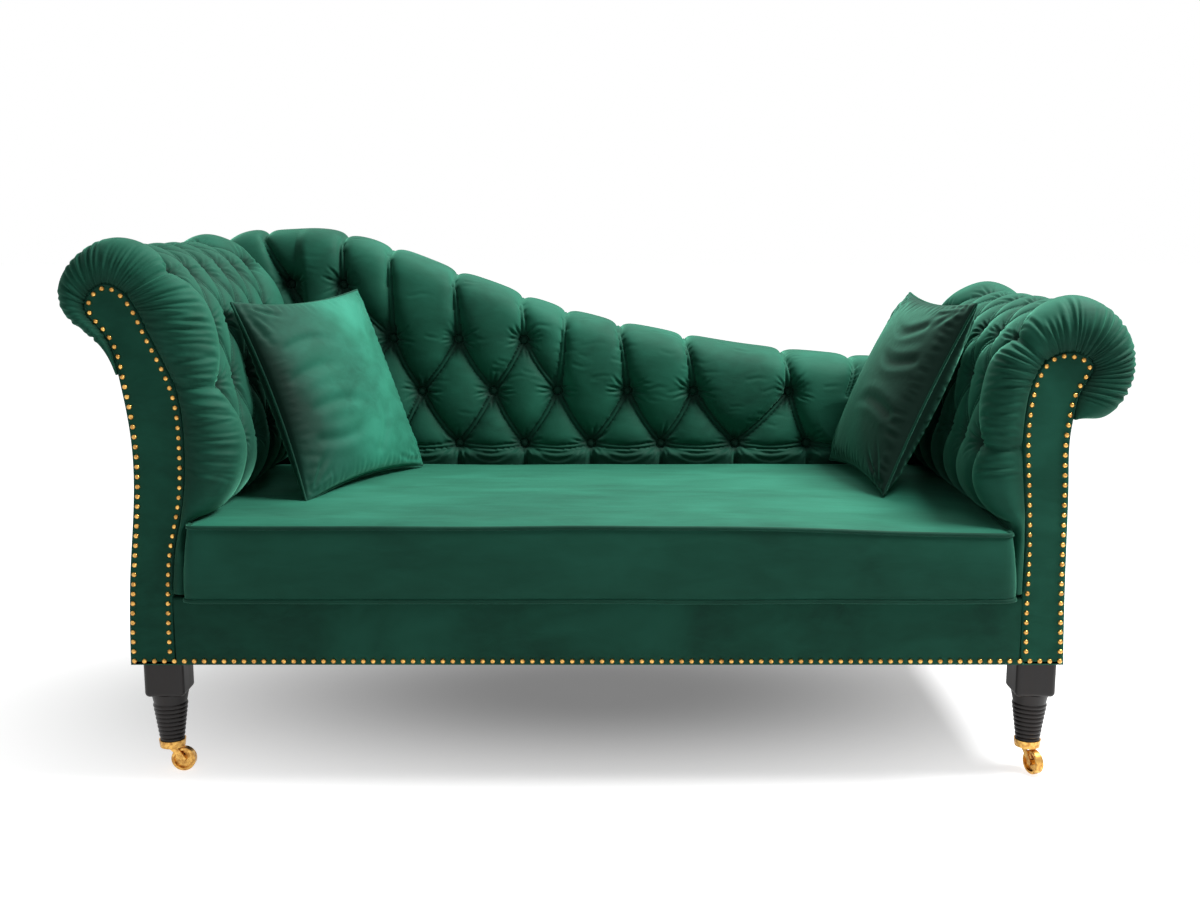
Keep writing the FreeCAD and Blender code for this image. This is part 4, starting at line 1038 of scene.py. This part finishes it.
def finish_nodes():
    """Finishes for the frame's own nodes, which show wherever no piece stands for them."""
    slots = {s["node"]: s["material_slot"] for s in frame["record"]["subparts"]}
    for name, node in frame["nodes"].items():
        node.data.materials.clear()
        node.data.materials.append(FINISHES[slots[name]])


# Floor, light and camera


def any_ray(tree, *kinds):
    """1 where a ray is of any of these kinds, and 0 elsewhere."""
    rays = add_node(tree, "LightPath")
    found = rays.outputs[kinds[0]]
    for kind in kinds[1:]:
        found = add_node(tree, "Math", {0: found, 1: rays.outputs[kind]}, operation="MAXIMUM").outputs["Value"]
    return found


def make_floor():
    """A pale floor that glows white away from the couch, for rays from the camera and off shiny pieces."""
    bpy.ops.mesh.primitive_plane_add(size=60.0, location=(0.0, 0.0, 0.0))
    floor = bpy.context.object
    floor.name = "floor"
    made, tree, shader = node_material("floor", (0.62, 0.62, 0.62), 0.9, {"Specular IOR Level": 0.1})
    plain = shader.outputs["BSDF"]
    squeezed = add_node(tree, "Mapping", {"Vector": add_node(tree, "TexCoord").outputs["Object"],
                                          "Location": (0.0, -0.13, 0.0), "Scale": (0.7, 1.35, 1.0)})
    away = add_node(tree, "VectorMath", {0: squeezed.outputs["Vector"]}, operation="LENGTH")
    # Weakest round the couch, the glow leaves a painted shadow there on top of the one that the lamps cast.
    glow = add_node(tree, "MapRange", {"Value": away.outputs["Value"], "From Min": 0.1, "From Max": 1.1,
                                       "To Min": 0.2, "To Max": 1.0}, interpolation_type="SMOOTHSTEP")
    lift = add_node(tree, "Emission", {"Strength": glow.outputs["Result"]})
    lit = add_node(tree, "AddShader", {0: plain, 1: lift.outputs["Emission"]})
    mix = add_node(tree, "MixShader", {"Fac": any_ray(tree, "Is Camera Ray", "Is Glossy Ray"),
                                       1: plain, 2: lit.outputs["Shader"]})
    fill(tree, tree.nodes["Material Output"], {"Surface": mix.outputs["Shader"]})
    floor.data.materials.append(made)


def make_world():
    """White for the rays that show a background, and a faint light for all others."""
    world = bpy.data.worlds.new("studio")
    bpy.context.scene.world = world
    world.use_nodes = True
    tree = world.node_tree
    shown = any_ray(tree, "Is Camera Ray", "Is Glossy Ray", "Is Transmission Ray")
    strength = add_node(tree, "MapRange", {"Value": shown, "To Min": 0.06, "To Max": 1.0})
    fill(tree, tree.nodes["Background"], {"Color": (1.0, 1.0, 1.0, 1.0), "Strength": strength.outputs["Result"]})


def stand(data, place, turn):
    """A lamp or camera at its place."""
    made = bpy.data.objects.new(data.name, data)
    made.location, made.rotation_euler = place, turn
    bpy.context.scene.collection.objects.link(made)
    return made


def lamp(name, place, aim, size, power):
    data = bpy.data.lights.new(name, "AREA")
    data.shape = "RECTANGLE"
    data.size, data.size_y = size
    data.energy = power
    stand(data, place, (Vector(aim) - Vector(place)).to_track_quat("-Z", "Y").to_euler())


def make_camera():
    sensor, focal_px, photo_px = 36.0, 1359.0, 1200.0
    data = bpy.data.cameras.new("camera")
    data.sensor_width = sensor
    data.lens = sensor * focal_px / photo_px
    data.clip_end = 100.0
    bpy.context.scene.camera = stand(data, (0.0, -2.64, 0.964), (math.radians(90.0 - 9.48), 0.0, 0.0))


make_back()
for arm_ in (LEFT, RIGHT):
    make_arm(arm_)
    make_facing(arm_)
make_cushion()
make_rail()
make_side_welts()
for pillow_, facts_ in PILLOWS.items():
    make_pillow(pillow_, **facts_)
finish_nodes()
make_floor()
make_world()
lamp("key", (1.9, -0.4, 3.1), (-0.2, 0.0, 0.5), (1.2, 1.2), 170.0)
lamp("top", (0.6, 1.3, 3.0), (0.0, 0.0, 0.4), (2.6, 1.2), 40.0)
lamp("front", (-1.6, -3.2, 2.0), (0.0, 0.0, 0.5), (1.5, 1.5), 3.0)
make_camera()
bpy.context.scene.view_settings.view_transform = "Standard"
